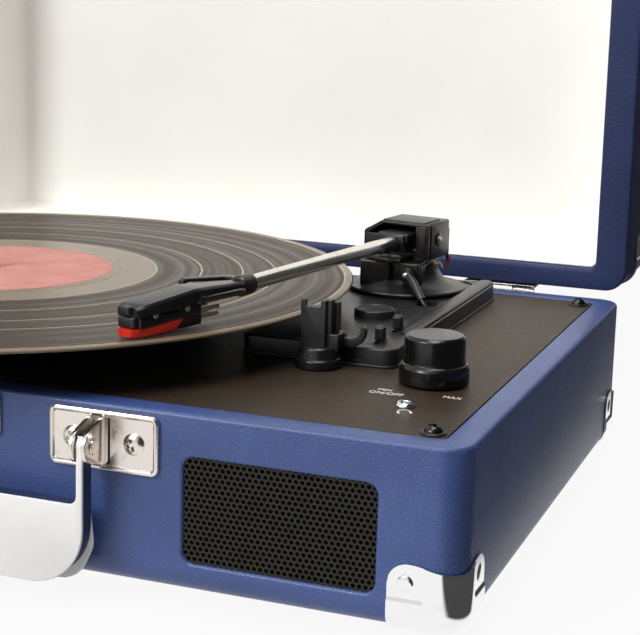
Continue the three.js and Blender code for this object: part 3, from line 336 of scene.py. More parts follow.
UPRIGHT = np.eye(3)
FRONT = np.array([[1, 0, 0], [0, 0, 1], [0, -1, 0]])  # drawn in X and Z, height towards the front
BACK = np.array([[-1, 0, 0], [0, 0, 1], [0, 1, 0]])  # the same seen from behind
SIDE = np.array([[0, 1, 0], [0, 0, 1], [1, 0, 0]])  # drawn in Y and Z, height towards +X


def skin(rings, loop=False):
    """Rings with the same number of points, joined by quads one to the next. The ends are closed
    by a face each, or with loop the last ring joins the first."""
    grid = np.asarray(rings, float)
    count, around = grid.shape[:2]
    index = np.arange(count * around).reshape(count, around)
    near = index if loop else index[:-1]
    far = np.roll(index, -1, 0) if loop else index[1:]
    quads = np.stack([near, np.roll(near, -1, 1), np.roll(far, -1, 1), far], -1).reshape(-1, 4)
    faces = quads.tolist()
    if not loop:
        faces += [index[0][::-1].tolist(), index[-1].tolist()]
    return grid.reshape(-1, 3), faces


def ring(width, depth, radius, z, steps=8):
    """A rounded rectangle at height z: four quarter circles joined by straights."""
    angles = np.concatenate([np.linspace(k, k + 1, steps + 1) * pi / 2 for k in range(4)])
    x_side = np.repeat([1, -1, -1, 1], steps + 1)
    y_side = np.repeat([1, 1, -1, -1], steps + 1)
    return np.stack([
        x_side * (width / 2 - radius) + radius * np.cos(angles),
        y_side * (depth / 2 - radius) + radius * np.sin(angles),
        np.full(angles.shape, float(z))], 1)


def turned(profile, at=(0, 0), segments=96):
    """A closed profile of radius and height, carried round an upright axis."""
    profile = np.asarray(profile, float)
    angles = np.linspace(0, 2 * pi, segments, endpoint=False)[:, None]
    rings = np.stack([
        at[0] + profile[:, 0] * np.cos(angles), at[1] + profile[:, 0] * np.sin(angles),
        np.broadcast_to(profile[:, 1], (segments, len(profile)))], -1)
    return skin(rings, loop=True)


def filleted(corners, radii, steps=5, closed=True):
    """An outline whose corners give way to arcs that touch both sides: the arc's centre lies on the
    corner's bisector, and its points turn evenly from one side's normal to the other's."""
    corners = np.asarray(corners, float)
    radii = np.broadcast_to(radii, len(corners))
    outline = []
    for i, corner in enumerate(corners):
        if radii[i] <= 0 or (not closed and i in (0, len(corners) - 1)):
            outline.append(corner)
            continue
        before = corners[i - 1] - corner
        after = corners[(i + 1) % len(corners)] - corner
        lengths = np.linalg.norm(before), np.linalg.norm(after)
        before, after = before / lengths[0], after / lengths[1]
        half = acos(np.clip(before @ after, -1, 1)) / 2
        if half > 1.56:
            outline.append(corner)
            continue
        reach = min(radii[i] / tan(half), 0.499 * lengths[0], 0.499 * lengths[1])
        radius = reach * tan(half)
        bisector = (before + after) / np.linalg.norm(before + after)
        centre = corner + bisector * radius / sin(half)
        start, end = corner + before * reach - centre, corner + after * reach - centre
        turn = pi - 2 * half
        for t in np.linspace(0, 1, steps + 1):
            outline.append(centre + (sin((1 - t) * turn) * start + sin(t * turn) * end) / sin(turn))
    return np.array(outline)


def smooth_turned(corners, radii, at=(0, 0), segments=96, steps=5):
    """A turned piece whose profile's corners are filleted."""
    return turned(filleted(corners, radii, steps), at, segments)


def inset(outline, distance):
    """The outline moved inwards: each point moves along the sum of its two sides' normals, by what
    keeps the sides parallel. Sides that would turn back come together where their neighbours meet."""
    sides = np.roll(outline, -1, 0) - outline
    normals = np.stack([-sides[:, 1], sides[:, 0]], 1)
    normals /= np.linalg.norm(normals, axis=1, keepdims=True)
    before = np.roll(normals, 1, 0)
    spread = 1 + (before * normals).sum(1, keepdims=True)
    moved = outline + distance * (before + normals) / np.maximum(spread, 0.3)
    along = ((np.roll(moved, -1, 0) - moved) * sides).sum(1)
    lost = along <= 1e-3 * (sides * sides).sum(1)
    if lost.all() or not lost.any():
        return moved
    count, first, k = len(outline), int(np.argmin(lost)), 0
    while k < count:
        i, run = (first + k) % count, 0
        while lost[(i + run) % count]:
            run += 1
        if run:
            last = (i + run) % count
            lead, trail, gap = sides[i - 1], sides[last], moved[last] - moved[i]
            across = lead[0] * trail[1] - lead[1] * trail[0]
            middle = (moved[i] + moved[last]) / 2
            meeting = middle
            if abs(across) > 1e-9:
                meeting = moved[i] + lead * (gap[0] * trail[1] - gap[1] * trail[0]) / across
            if np.linalg.norm(meeting - middle) > 2 * distance:
                meeting = middle
            moved[[(i + step) % count for step in range(run + 1)]] = meeting
        k += max(run, 1)
    return moved


def clean(outline):
    """The outline counter-clockwise, without doubled points."""
    outline = np.asarray(outline, float)
    step = np.linalg.norm(outline - np.roll(outline, 1, 0), axis=1)
    outline = outline[step > 1e-6]
    x, y = outline.T
    area = (x * np.roll(y, -1) - np.roll(x, -1) * y).sum()
    return outline if area > 0 else outline[::-1]


def dished(outline, levels):
    """A flat outline built up in levels of inset and height."""
    outline = clean(outline)
    return skin([np.c_[inset(outline, far), np.full(len(outline), float(z))] for far, z in levels])


def slab(outline, low, high, edge=0.0, steps=3):
    """A flat outline given a height, its upper and lower edges rounded by quarter circles."""
    if not edge:
        return dished(outline, [(0, low), (0, high)])
    turn = np.linspace(0, pi / 2, steps + 1)
    rise = [(edge * (1 - sin(a)), edge * (1 - cos(a))) for a in turn]
    return dished(outline, [(far, low + z) for far, z in rise]
                  + [(far, high - z) for far, z in reversed(rise)])


def rectangle(x0, x1, y0, y1, radius=0.0, steps=5):
    return filleted([(x0, y0), (x1, y0), (x1, y1), (x0, y1)], radius, steps)


def block(x0, x1, y0, y1, z0, z1, corner=0.5, edge=0.4):
    """A box with rounded corners and edges."""
    return slab(rectangle(x0, x1, y0, y1, corner, 4), z0, z1, edge)


def put(part, basis=UPRIGHT, at=(0, 0, 0)):
    """A part drawn flat, set in the frame: its X, Y and height follow the rows of basis."""
    points, faces = part
    return points @ np.asarray(basis, float) + np.asarray(at, float), faces


def spun(part, axis, degrees_round, about):
    """A part turned about one of the frame's axes through a point."""
    points, faces = part
    turn = np.array(Matrix.Rotation(radians(degrees_round), 3, axis))
    about = np.asarray(about, float)
    return (points - about) @ turn.T + about, faces


def both(*parts):
    """Several parts as one."""
    points, faces, start = [], [], 0
    for some, more in parts:
        points.append(some)
        faces += [[start + i for i in face] for face in more]
        start += len(some)
    return np.concatenate(points), faces


def mirrored(part, x=1, y=1):
    points, faces = part
    return points * np.array([x, y, 1]), faces


def rod(path, radii, sides=16):
    """A round rod along a path: at each point a circle square to the path, turned on from the one
    before so that it doesn't twist."""
    path = np.asarray(path, float)
    radii = np.broadcast_to(radii, len(path))
    along = np.gradient(path, axis=0)
    along /= np.linalg.norm(along, axis=1, keepdims=True)
    side = np.cross(along[0], [0.3, 0.5, 0.81])
    rings = []
    angles = np.linspace(0, 2 * pi, sides, endpoint=False)[:, None]
    for point, ahead, radius in zip(path, along, radii):
        side = side - ahead * (side @ ahead)
        side /= np.linalg.norm(side)
        across = np.cross(ahead, side)
        rings.append(point + radius * (np.cos(angles) * side + np.sin(angles) * across))
    return skin(rings)


def curve(points, count=24):
    """A smooth path through points: each coordinate a cubic of the distance along them."""
    points = np.asarray(points, float)
    spans = np.r_[0, np.cumsum(np.linalg.norm(np.diff(points, axis=0), axis=1))]
    slopes = np.gradient(points, spans, axis=0)
    places = np.linspace(0, spans[-1], count)
    i = np.clip(np.searchsorted(spans, places, side="right") - 1, 0, len(points) - 2)
    gap = (spans[i + 1] - spans[i])[:, None]
    t = (places - spans[i])[:, None] / gap
    return ((2 * t ** 3 - 3 * t ** 2 + 1) * points[i] + (t ** 3 - 2 * t ** 2 + t) * gap * slopes[i]
            + (3 * t ** 2 - 2 * t ** 3) * points[i + 1] + (t ** 3 - t ** 2) * gap * slopes[i + 1])


def opened(part):
    """A part of the shut lid, turned a quarter open about the hinge pins."""
    points, faces = part
    x, y, z = points.T
    return np.stack([x, HINGE_Y + z - HINGE_Z, HINGE_Z - y + HINGE_Y], 1), faces


def on_arm(part):
    """A part drawn about the swing axis, turned over the record."""
    points, faces = part
    turn = np.array(Matrix.Rotation(radians(-ARM_YAW), 3, "Z"))
    return points @ turn.T + np.array([*PIVOT, 0.0]), faces


def on_shell(part):
    """A part drawn about the tube's end, turned with the headshell and then with the arm."""
    points, faces = part
    turn = np.array(Matrix.Rotation(radians(-SHELL_TURN), 3, "Z"))
    return on_arm((points @ turn.T + np.array([0.0, -TUBE_END, 0.0]), faces))


# ---- Pieces ----

def bare(name, part):
    """An object with its doubled points merged and its faces turned outwards."""
    points, faces = part
    mesh = bpy.data.meshes.new(name)
    mesh.from_pydata((np.asarray(points, float) / 1000).tolist(), [], faces)
    work = bmesh.new()
    work.from_mesh(mesh)
    bmesh.ops.remove_doubles(work, verts=work.verts, dist=1e-6)
    caps = [face for face in work.faces if len(face.verts) > 4]
    bmesh.ops.triangulate(work, faces=caps, ngon_method="EAR_CLIP")
    bmesh.ops.recalc_face_normals(work, faces=work.faces)
    work.to_mesh(mesh)
    work.free()
    thing = bpy.data.objects.new(name, mesh)
    bpy.context.scene.collection.objects.link(thing)
    return thing


def cut_out(thing, *parts):
    """Takes the parts' shapes out of a piece for good."""
    for part in parts:
        tool = bare("tool", part)
        cut = thing.modifiers.new("cut", "BOOLEAN")
        cut.operation = "DIFFERENCE"
        cut.solver = "EXACT"
        cut.object = tool
        bpy.context.view_layer.update()
        graph = bpy.context.evaluated_depsgraph_get()
        mesh = bpy.data.meshes.new_from_object(thing.evaluated_get(graph))
        thing.modifiers.clear()
        old, thing.data = thing.data, mesh
        mesh.name = thing.name
        bpy.data.meshes.remove(old)
        bpy.data.objects.remove(tool)
    return thing


def soften(thing, chosen, width, steps=4):
    """Rounds the sharp edges whose middles, in millimetres, chosen() picks."""
    work = bmesh.new()
    work.from_mesh(thing.data)
    edges = [edge for edge in work.edges
             if len(edge.link_faces) == 2 and edge.calc_face_angle() > 0.9
             and chosen(*((edge.verts[0].co + edge.verts[1].co) * 500))]
    bmesh.ops.bevel(work, geom=edges, offset=width / 1000, segments=steps, profile=0.5,
                    affect="EDGES", clamp_overlap=True)
    work.to_mesh(thing.data)
    work.free()


def dress(thing, finish, body="base", hides=(), edge=0.0, smooth=35, steps=2):
    """Gives a piece its finish and its body, and hides the CAD nodes that it stands for. edge rounds
    every sharp edge by so many millimetres."""
    thing.data.materials.clear()
    thing.data.materials.append(finish.material)
    thing.data.shade_smooth()
    if edge:
        bevel = thing.modifiers.new("edges", "BEVEL")
        bevel.width = edge / 1000
        bevel.segments = steps
        bevel.angle_limit = radians(35)
        bevel.harden_normals = True
    else:
        thing.data.set_sharp_from_angle(angle=radians(smooth))
    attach(thing, body)
    if hides:
        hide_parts(*hides)
    return thing


def add(name, part, finish, body="base", hides=(), edge=0.0, smooth=35, steps=2):
    return dress(bare(name, part), finish, body, hides, edge, smooth, steps)


def refinish(node, finish):
    """A CAD node that stays gets a better finish."""
    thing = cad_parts[node]
    thing.data.materials.clear()
    thing.data.materials.append(finish.material)


def quarter(radius, steps=6):
    """Insets and heights round a quarter-round edge, from its flat end to its upright one."""
    turn = np.linspace(0, pi / 2, steps + 1)
    return list(zip(radius * (1 - np.sin(turn)), radius * (1 - np.cos(turn))))


def cross_screw(radius, rise, recess=0.55):
    """A domed screw head about the Z axis: an arc of a circle in section over a short upright edge,
    and a cross cut into it."""
    sweep = np.linspace(0, 1, 9)[::-1]
    dome = np.c_[radius * sweep, 0.35 + (rise - 0.35) * (1 - sweep ** 3)]
    head = turned(np.r_[[[0, -0.6], [radius, -0.6]], dome], segments=40)
    long, wide = radius * recess, radius * 0.17
    cross = filleted([
        (-wide, -long), (wide, -long), (wide, -wide), (long, -wide), (long, wide), (wide, wide),
        (wide, long), (-wide, long), (-wide, wide), (-long, wide), (-long, -wide), (-wide, -wide),
    ], 0)
    return head, slab(cross, rise * 0.35, rise + 1)


def screw(name, at, basis, radius, rise, finish, body="base", turn=20):
    """A cross-head screw standing on a surface at a point, its head along the third row of basis."""
    head, cross = (spun(part, "Z", turn, (0, 0, 0)) for part in cross_screw(radius, rise))
    thing = bare(name, put(head, basis, at))
    cut_out(thing, put(cross, basis, at))
    return dress(thing, finish, body)


# Case frame: rings of a rounded rectangle up the outside, over the rim and down the inside

def case_frame():
    outside = [ring(WIDTH - 2 * far, DEPTH - 2 * far, 10 - far, z) for far, z in quarter(7)]
    rim = [ring(WIDTH - 2 * far, DEPTH - 2 * far, 10 - far, HEIGHT - z)
           for far, z in reversed(quarter(1.5, 4))]
    inside = [ring(INNER_WIDTH + 2 * far, INNER_DEPTH + 2 * far, 3 + far, HEIGHT - z)
              for far, z in quarter(1.0, 4)]
    thing = bare("case_frame", skin(outside + rim + inside + [ring(INNER_WIDTH, INNER_DEPTH, 3, 0)],
                                    loop=True))
    opening = rectangle(-33.8, 33.8, -18.3, 18.3, 4, 8)
    tools = [put(slab(opening, 118, 140), FRONT, (side * 115.3, 0, 29.1)) for side in (-1, 1)]
    cut_out(thing, *tools, put(slab(rectangle(-31, 31, -10, 10), 110, 140), BACK, (-55, 0, 30)))
    soften(thing, lambda x, y, z: y < -129.9 and 8 < z < 55, 1.3)
    return dress(thing, BLUE, hides=["base_shell"])


case_frame()

refinish("deck_plate", DECK_VINYL)
refinish("bottom_panel", FIBRE)
for node in ("motor", "speaker_left", "speaker_right", "volume_control"):
    refinish(node, STEEL)
refinish("amplifier_board", BOARD)

CORNERS = [("front_left", -1, -1), ("front_right", 1, -1), ("back_left", -1, 1), ("back_right", 1, 1)]
for name, sx, sy in CORNERS:
    place = (sx * 146, sy * 98)
    profile = [(0, -6.2), (2.6, -6.2), (2.6, -8), (7.6, -8), (9, -0.3), (0, -0.3)]
    add(f"rubber_foot_{name}", smooth_turned(profile, [0, 0.4, 0.8, 1.2, 0.2, 0], place, 48), RUBBER,
        hides=[f"foot_{name}"])
    screw(f"foot_screw_{name}", (*place, -6.4), np.diag([1, -1, -1]), 2.3, 1.0, STEEL)


# Corner caps: pressed sheet round a bottom corner of the case, or a top corner of the lid

CAP_REACH = 22.35  # along the surface from the corner's diagonal
CAP_ROUND = 7.0


def cap_point(s, far, z):
    """The place s along the case's outline from the corner's diagonal and far inside its face: round
    the corner's centre by angle s / 10, and straight on past each end of the arc."""
    arc = 10 * pi / 4
    bend = np.clip(s, -arc, arc)
    past = s - bend
    angle = pi / 4 + bend / 10
    return np.stack([
        WIDTH / 2 - 10 + (10 - far) * np.cos(angle) - past * np.sin(angle),
        DEPTH / 2 - 10 + (10 - far) * np.sin(angle) + past * np.cos(angle),
        z + 0 * s], -1)


def cap_top(s):
    """The cap's upper edge: level, dipping towards the corner by a cosine, with round ends."""
    a = np.abs(s)
    straight = CAP_REACH - CAP_ROUND
    dip = 1.1 * (1 + np.cos(pi * np.minimum(a, straight) / straight))
    drop = CAP_ROUND - np.sqrt(np.maximum(CAP_ROUND ** 2 - np.maximum(a - straight, 0) ** 2, 0))
    return 23.1 - dip - drop


def soft_step(value, start, width):
    t = np.clip((value - start) / width, 0, 1)
    return t * t * (3 - 2 * t)


def corner_cap():
    """Columns along the outline. Each goes from under the case round its bottom edge and up its
    wall outside, and back inside. The tabs at the rivets are pressed 0.45 mm lower."""
    columns = np.linspace(-CAP_REACH, CAP_REACH, 97)
    rings = []
    for s in columns:
        wall = np.linspace(7.6, cap_top(s), 24)

        def walk(grow):
            turn = np.linspace(pi / 2, 0, 10)
            under = np.array([[10.0, -grow], [8.5, -grow]])
            round_edge = np.c_[7 - (7 + grow) * np.cos(turn), 7 - (7 + grow) * np.sin(turn)]
            tab = soft_step(abs(s), 9.6, 0.9) * soft_step(wall, 10.6, 0.9)
            sunk = grow - (0.5 if grow > 1 else 0) * tab
            return np.r_[under, round_edge, np.c_[-sunk, wall]]

        outside, inside = walk(1.2), walk(0.3)[::-1]
        loop = np.r_[outside, inside]
        rings.append(cap_point(np.full(len(loop), s), loop[:, 0], loop[:, 1]))
    return skin(rings)


def cap_rivet(s, z, rise):
    """A domed rivet head on the cap's tab, over a thin flat collar."""
    sweep = np.linspace(0, 1, 9)[::-1]
    dome = np.c_[2.7 * sweep, 0.15 + (rise - 0.15) * np.sqrt(1 - sweep ** 2)]
    head = turned(np.r_[[[0, -0.5], [3.2, -0.5], [3.2, 0.05]], dome], segments=40)
    angle = pi / 4 + np.sign(s) * pi / 4
    out = np.array([cos(angle), sin(angle), 0])
    along = np.array([-sin(angle), cos(angle), 0])
    centre = cap_point(np.array([s]), -0.65, np.array([z]))[0]
    return put(head, np.stack([along, [0, 0, 1], out]), centre)


def lid_corner(part):
    """A part of a base cap carried to the shut lid's top and opened with it."""
    points, faces = part
    return opened((points * np.array([1, 1, -1]) + np.array([0, 0, LID_TOP]), faces))


rivets = both(cap_rivet(16.2, 16.8, 1.0), cap_rivet(-16.2, 16.8, 0.45))
for name, sx, sy in CORNERS:
    cap, heads = mirrored(corner_cap(), sx, sy), mirrored(rivets, sx, sy)
    add(f"chrome_cap_{name}", cap, CHROME, hides=[f"base_cap_{name}"], smooth=50)
    add(f"cap_rivets_{name}", heads, CHROME)
    add(f"lid_chrome_cap_{name}", lid_corner(cap), CHROME, "lid", [f"lid_cap_{name}"], smooth=50)
    add(f"lid_cap_rivets_{name}", lid_corner(heads), CHROME, "lid")


# Speaker grilles: a sheet of hexagonal cells, each a hexagon round a six-sided hole

def perforated_sheet(side):
    """Cell centres on a staggered grid. Six quads lie between each hexagon and its hole, and six go
    down into the hole."""
    pitch, hole, deep = 2.15, 0.74, 0.7
    rows, columns = 21, 33
    row, column = np.meshgrid(np.arange(rows), np.arange(columns), indexing="ij")
    x = (column - (columns - 1) / 2 + 0.5 * (row % 2) - 0.25) * pitch
    z = (row - (rows - 1) / 2) * pitch * sqrt(3) / 2
    centres = np.stack([x.ravel(), z.ravel()], 1)
    inside = (np.abs(centres[:, 0]) < 34.2) & (np.abs(centres[:, 1]) < 18.8)
    centres = centres[inside]
    angles = np.arange(6) * pi / 3 + pi / 6
    compass = np.stack([np.cos(angles), np.sin(angles)], 1)
    outer, inner = compass * pitch / sqrt(3), compass * hole
    shape = np.concatenate([
        np.c_[outer, np.zeros(6)], np.c_[inner * 1.12, np.zeros(6)], np.c_[inner, np.full(6, -0.12)],
        np.c_[inner, np.full(6, -deep)]])
    points = (np.c_[centres, np.zeros(len(centres))][:, None, :] + shape).reshape(-1, 3)
    step = np.arange(6)
    cell = np.concatenate([
        np.stack([a + step, a + (step + 1) % 6, b + (step + 1) % 6, b + step], 1)
        for a, b in ((0, 6), (6, 12), (12, 18))])
    faces = (np.arange(len(centres))[:, None, None] * 24 + cell).reshape(-1, 4)
    return put((points, faces.tolist()), FRONT, (side * 115.3, -128.8, 29.1))


for name, side in (("left", -1), ("right", 1)):
    add(f"perforated_grille_{name}", perforated_sheet(side), PERFORATED,
        hides=[f"speaker_grille_{name}"])
    # painted shade: a near-black sheet just behind the holes stands for the dark inside of the case
    shade_sheet = slab(rectangle(-33.6, 33.6, -18.1, 18.1, 4), 0, 0.6)
    add(f"grille_shade_sheet_{name}", put(shade_sheet, FRONT, (side * 115.3, -126.6, 29.1)), DARK)


# Deck fittings: corner screws, printed words, headphone socket and volume knob

for i, (x, y) in enumerate([(162, -114), (162, 112), (-162, -114), (-162, 112)]):
    washer = smooth_turned([(0, DECK), (4.4, DECK), (4.4, DECK + 0.5), (3.8, DECK + 0.8), (0, DECK + 0.8)],
                           [0, 0, 0.3, 0.3, 0], (x, y), 48)
    add(f"deck_washer_{i}", washer, BLACK)
    screw(f"deck_screw_{i}", (x, y, DECK + 0.7), UPRIGHT, 3.2, 2.2, GLOSSY, turn=35 + 20 * i)


def printed(name, text, x, y, width, height):
    """Flat printed letters on the deck, centred on x, y and scaled to a width and height."""
    letters = bpy.data.curves.new(name, "FONT")
    letters.body = text
    letters.extrude = 0.02
    source = bpy.data.objects.new(name, letters)
    bpy.context.scene.collection.objects.link(source)
    bpy.context.view_layer.update()
    mesh = bpy.data.meshes.new_from_object(source)
    points = np.zeros(len(mesh.vertices) * 3)
    mesh.vertices.foreach_get("co", points)
    points = points.reshape(-1, 3)
    faces = [list(face.vertices) for face in mesh.polygons]
    bpy.data.objects.remove(source)
    low, high = points.min(0), points.max(0)
    scale = np.array([width, height, 0.05]) / (high - low)
    points = (points - (low + high) / 2) * scale + np.array([x, y, DECK + 0.03])
    add(name, (points, faces), INK)


printed("word_min", "MIN", 131.0, -69.6, 4.8, 2.5)
printed("word_on_off", "ON/OFF", 132.8, -73.8, 12.4, 2.9)
printed("word_max", "MAX", 155.6, -69.2, 6.6, 2.7)


def headphone_sign():
    """A band over the head as an arc, with a cup at each end."""
    angles = np.linspace(radians(-20), radians(200), 23)
    outer = np.stack([2.3 * np.cos(angles), 2.3 * np.sin(angles)], 1)
    inner = np.stack([1.85 * np.cos(angles), 1.85 * np.sin(angles)], 1)[::-1]
    band = slab(np.r_[outer, inner], 0, 0.05)
    cups = [slab(rectangle(side * 2.1 - 0.5, side * 2.1 + 0.5, -2.2, -0.5, 0.3), 0, 0.05)
            for side in (-1, 1)]
    return put(spun(both(band, *cups), "Z", 25, (0, 0, 0)), at=(145.6, -93.6, DECK))


add("headphone_sign", headphone_sign(), INK)
socket = smooth_turned([
    (1.75, 50), (2.6, 50), (2.6, DECK + 0.1), (3.5, DECK + 0.1), (3.5, DECK + 0.7), (2.7, DECK + 1.6),
    (1.75, DECK + 1.6)], [0, 0, 0, 0.1, 0.3, 0.4, 0.3], (144, -87.2), 48)
add("headphone_socket", socket, CHROME, hides=["headphone_jack"])
add("headphone_socket_body", block(139, 149, -91.2, -81.2, 45.9, 57.9), BLACK)

knob = smooth_turned([
    (0, 62.5), (12.75, 62.5), (12.75, 68.1), (12.0, 69.2), (11.3, 69.6), (11.1, 70.4), (11.0, 78.6),
    (9.9, 79.7), (0, 79.5)], [0, 0.5, 0.6, 0.4, 0.4, 0.3, 0.9, 1.0, 0], KNOB, 128)
add("knob_cap", knob, GLOSSY, "knob", ["volume_knob"])
add("knob_shaft", turned([(0, 52.2), (3, 52.2), (3, 63), (0, 63)], KNOB, 32), STEEL, "knob")


# Drive: platter, record with its label, spindle, bush and pulley

platter = smooth_turned([
    (3.8, 66.3), (10, 66.3), (10, 75.2), (55.5, 75.2), (55.5, 67.2), (58, 67.2), (58, 75.2), (92.5, 75.2),
    (92.5, 66.2), (95, 66.2), (95, 79.2), (3.8, 79.2)],
    [0.2, 0.3, 1, 1, 0.4, 0.4, 1, 1.2, 0.8, 0.8, 1.4, 0.2], SPINDLE, 144, 4)
add("platter_turned", platter, BLACK, "turntable", ["platter"])
disc_profile = [
    (3.7, 79.5), (149.9, 79.5), (150.8, 80.2), (150.2, 80.9), (147.6, 80.9), (146.6, 80.66), (54, 80.66),
    (52.6, 80.86), (51, 80.9), (3.7, 80.9)]
add("pressed_record", smooth_turned(disc_profile, [0, 0.5, 0.5, 0.5, 0.6, 0.6, 0.8, 0.5, 0.3, 0],
                                    SPINDLE, 256, 4), VINYL, "turntable", ["record"])
label_profile = [(3.7, 80.8), (50, 80.8), (50, 80.98), (3.7, 80.98)]
add("record_label", smooth_turned(label_profile, [0, 0, 0.08, 0], SPINDLE, 160), LABEL, "turntable")
add("turned_spindle", smooth_turned([
    (0, 48.2), (3.5, 48.2), (3.5, 86), (2.2, 88.9), (0, 88.9)], [0, 0, 1.5, 1.2, 0], SPINDLE, 64),
    BRIGHT_TUBE, "turntable", ["spindle"])
add("bronze_bush", smooth_turned([
    (3.8, 48.2), (8, 48.2), (8, 62), (13, 62), (13, 63.6), (8, 63.6), (8, 66), (3.8, 66)],
    [0, 0.3, 0, 0.2, 0.4, 0.2, 0.3, 0], SPINDLE, 64), STEEL, hides=["spindle_bush"])
add("crowned_pulley", smooth_turned([
    (0, 48.2), (1.5, 48.2), (1.5, 66.7), (6, 66.7), (6, 67.3), (5, 67.7), (5.15, 70.2), (5, 72.7), (6, 73.1),
    (6, 73.7), (0, 73.7)], 0.15, (-93.68, 44.604), 64), STEEL, "pulley", ["motor_pulley"])
refinish("drive_belt", RUBBER)


# Tonearm plate: moulded body with a recess, a low boss and a rounded rim on the right

def tonearm_plate():
    outline = rectangle(63, 125, -41, 107, 5, 8)
    thing = bare("tonearm_plate_body", slab(outline, 62, 69, 0.8, 4))
    slots = [slab(rectangle(113.7, 116.3, y - 5.3, y + 5.3, 0.6), 60, 72) for y in (-28, -6.5)]
    recess = slab(rectangle(66, 116.6, 33, 104, 8), 68.5, 72)
    pocket = slab(rectangle(106, 114.6, 43, 53.5, 3), 66.6, 72)
    groove = block(70, 118, -42, -40.7, 64.48, 64.72, 0.05, 0.05)
    cut_out(thing, recess, pocket, turned([(0, 60), (9.1, 60), (9.1, 72), (0, 72)], REST, 64), groove, *slots)
    soften(thing, lambda x, y, z: z > 68.9, 0.6, 3)
    return dress(thing, GREY_BLACK, hides=["tonearm_plate"], smooth=50)


tonearm_plate()
skirt = bare("plate_skirt", slab(rectangle(62.5, 125.5, -41.5, 107.5, 5.5, 8), 61.75, 62.7, 0.3))
cut_out(skirt, turned([(0, 60), (9.1, 60), (9.1, 72), (0, 72)], REST, 64))
dress(skirt, GREY_BLACK)
add("plate_rim", slab(rectangle(117.8, 124.4, -14, 106, 3.2, 6), 68.2, 70.4, 1.3, 5), GREY_BLACK)
add("plate_boss", smooth_turned([(0, 68), (8.7, 68), (8.5, 72.2), (7.2, 72.2), (6.9, 71.8), (0, 71.8)],
                                [0, 0, 0.7, 0.3, 0.2, 0], (98.5, 14.5), 72), GREY_BLACK)

bell_curve = [(26 - 12.2 * sin(a), 70.7 + 9.6 * (1 - cos(a))) for a in np.linspace(0, pi / 2, 15)]
bell = np.r_[[(3.3, 63.9), (24, 63.9), (24, 69.2), (26.1, 69.4), (26.4, 70.1)], bell_curve,
             [(12.6, 80.9), (3.3, 80.9)]]
add("flared_bell", turned(bell, PIVOT, 128), GREY_BLACK, hides=["arm_pedestal"])
bell_collar = smooth_turned([(3.3, 80.2), (12.4, 80.2), (12.2, 81.0), (3.3, 81.0)], [0, 0.2, 0.3, 0], PIVOT, 72)
add("bell_collar", bell_collar, plain("collar_nylon", "black_plastic", "6d665a", 0.4))

block_outline = filleted([(75, 71), (101.5, 71), (101.5, 82.6), (75, 82.6)], [1.2, 0.6, 0.6, 0.6], 6)
lift_block = bare("lift_block_body", put(slab(block_outline, -90, -62, 0.6), FRONT))
cut_out(lift_block, turned([(0, 60), (3.3, 60), (3.3, 90), (0, 90)], PIVOT, 40))
dress(lift_block, BLACK, hides=["lift_block"], smooth=50)
add("lift_block_step", block(99.4, 102.6, 62.6, 89.4, 70.6, 81.6, 0.5, 0.4), BLACK)
cue_pin = put(smooth_turned([(0, 0), (1.3, 0), (1.3, 5.6), (0.6, 6.1), (0, 6.1)], [0, 0, 0.4, 0.3, 0],
                            segments=32), FRONT, (97.5, 62, 78.2))
add("cue_pivot_pin", cue_pin, SOLDER)

rail_turn = np.radians(np.linspace(-132, -82, 33))
rail_outline = np.r_[np.stack([20 * np.cos(rail_turn), 20 * np.sin(rail_turn)], 1),
                     np.stack([18 * np.cos(rail_turn), 18 * np.sin(rail_turn)], 1)[::-1]] + PIVOT
add("curved_lift_rail", slab(rail_outline, 82.8, 84.8, 0.5), BLACK, "rail", ["lift_rail"])
add("lift_rail_post", turned([(0, 75), (1.3, 75), (1.3, 83), (0, 83)], (88.495, 59.239), 24), BLACK,
    "rail")

lever_path = curve([(97.5, 58.8, 78.2), (101.2, 55.6, 75.6), (104.6, 52.2, 72.4), (107.4, 49.8, 69.6)])
lever = rod(lever_path, np.linspace(2.3, 1.7, len(lever_path)), 24)
tip_path = curve([(106.6, 50.3, 70.6), (108.4, 49.1, 68.4), (110.6, 48.4, 66.2)], 10)
hub = put(smooth_turned([(1.7, 0), (3, 0), (3, 3.6), (1.7, 3.6)], [0, 0.5, 0.5, 0], segments=48),
          FRONT, (97.5, 61.7, 78.2))
add("cue_lever_body", both(lever, rod(tip_path, np.linspace(1.0, 0.85, 10), 16), hub), BLACK, "cue",
    ["cue_lever"])

for name, y, body, node in (("speed", -28, "speed", "speed_lever"),
                            ("auto_stop", -6.5, "auto_stop", "auto_stop_switch")):
    cap = slab(rectangle(113.2, 116.8, y - 1.9, y + 1.9, 0.5), 69.3, 74.5, 0.5)
    ridges = [block(113.4, 116.6, y + k - 0.22, y + k + 0.22, 74.2, 74.8, 0.2, 0.2) for k in (-0.9, 0, 0.9)]
    stem = block(114, 116, y - 1, y + 1, 57, 70, 0.1, 0.1)
    foot = block(111.5, 118.5, y - 3.5, y + 3.5, 55.9, 57.9, 0.4, 0.3)
    add(f"{name}_switch_cap", both(cap, *ridges, stem, foot), BLACK, body, [node])


# Tonearm: housing, clamp, tube, headshell, cartridge and stylus

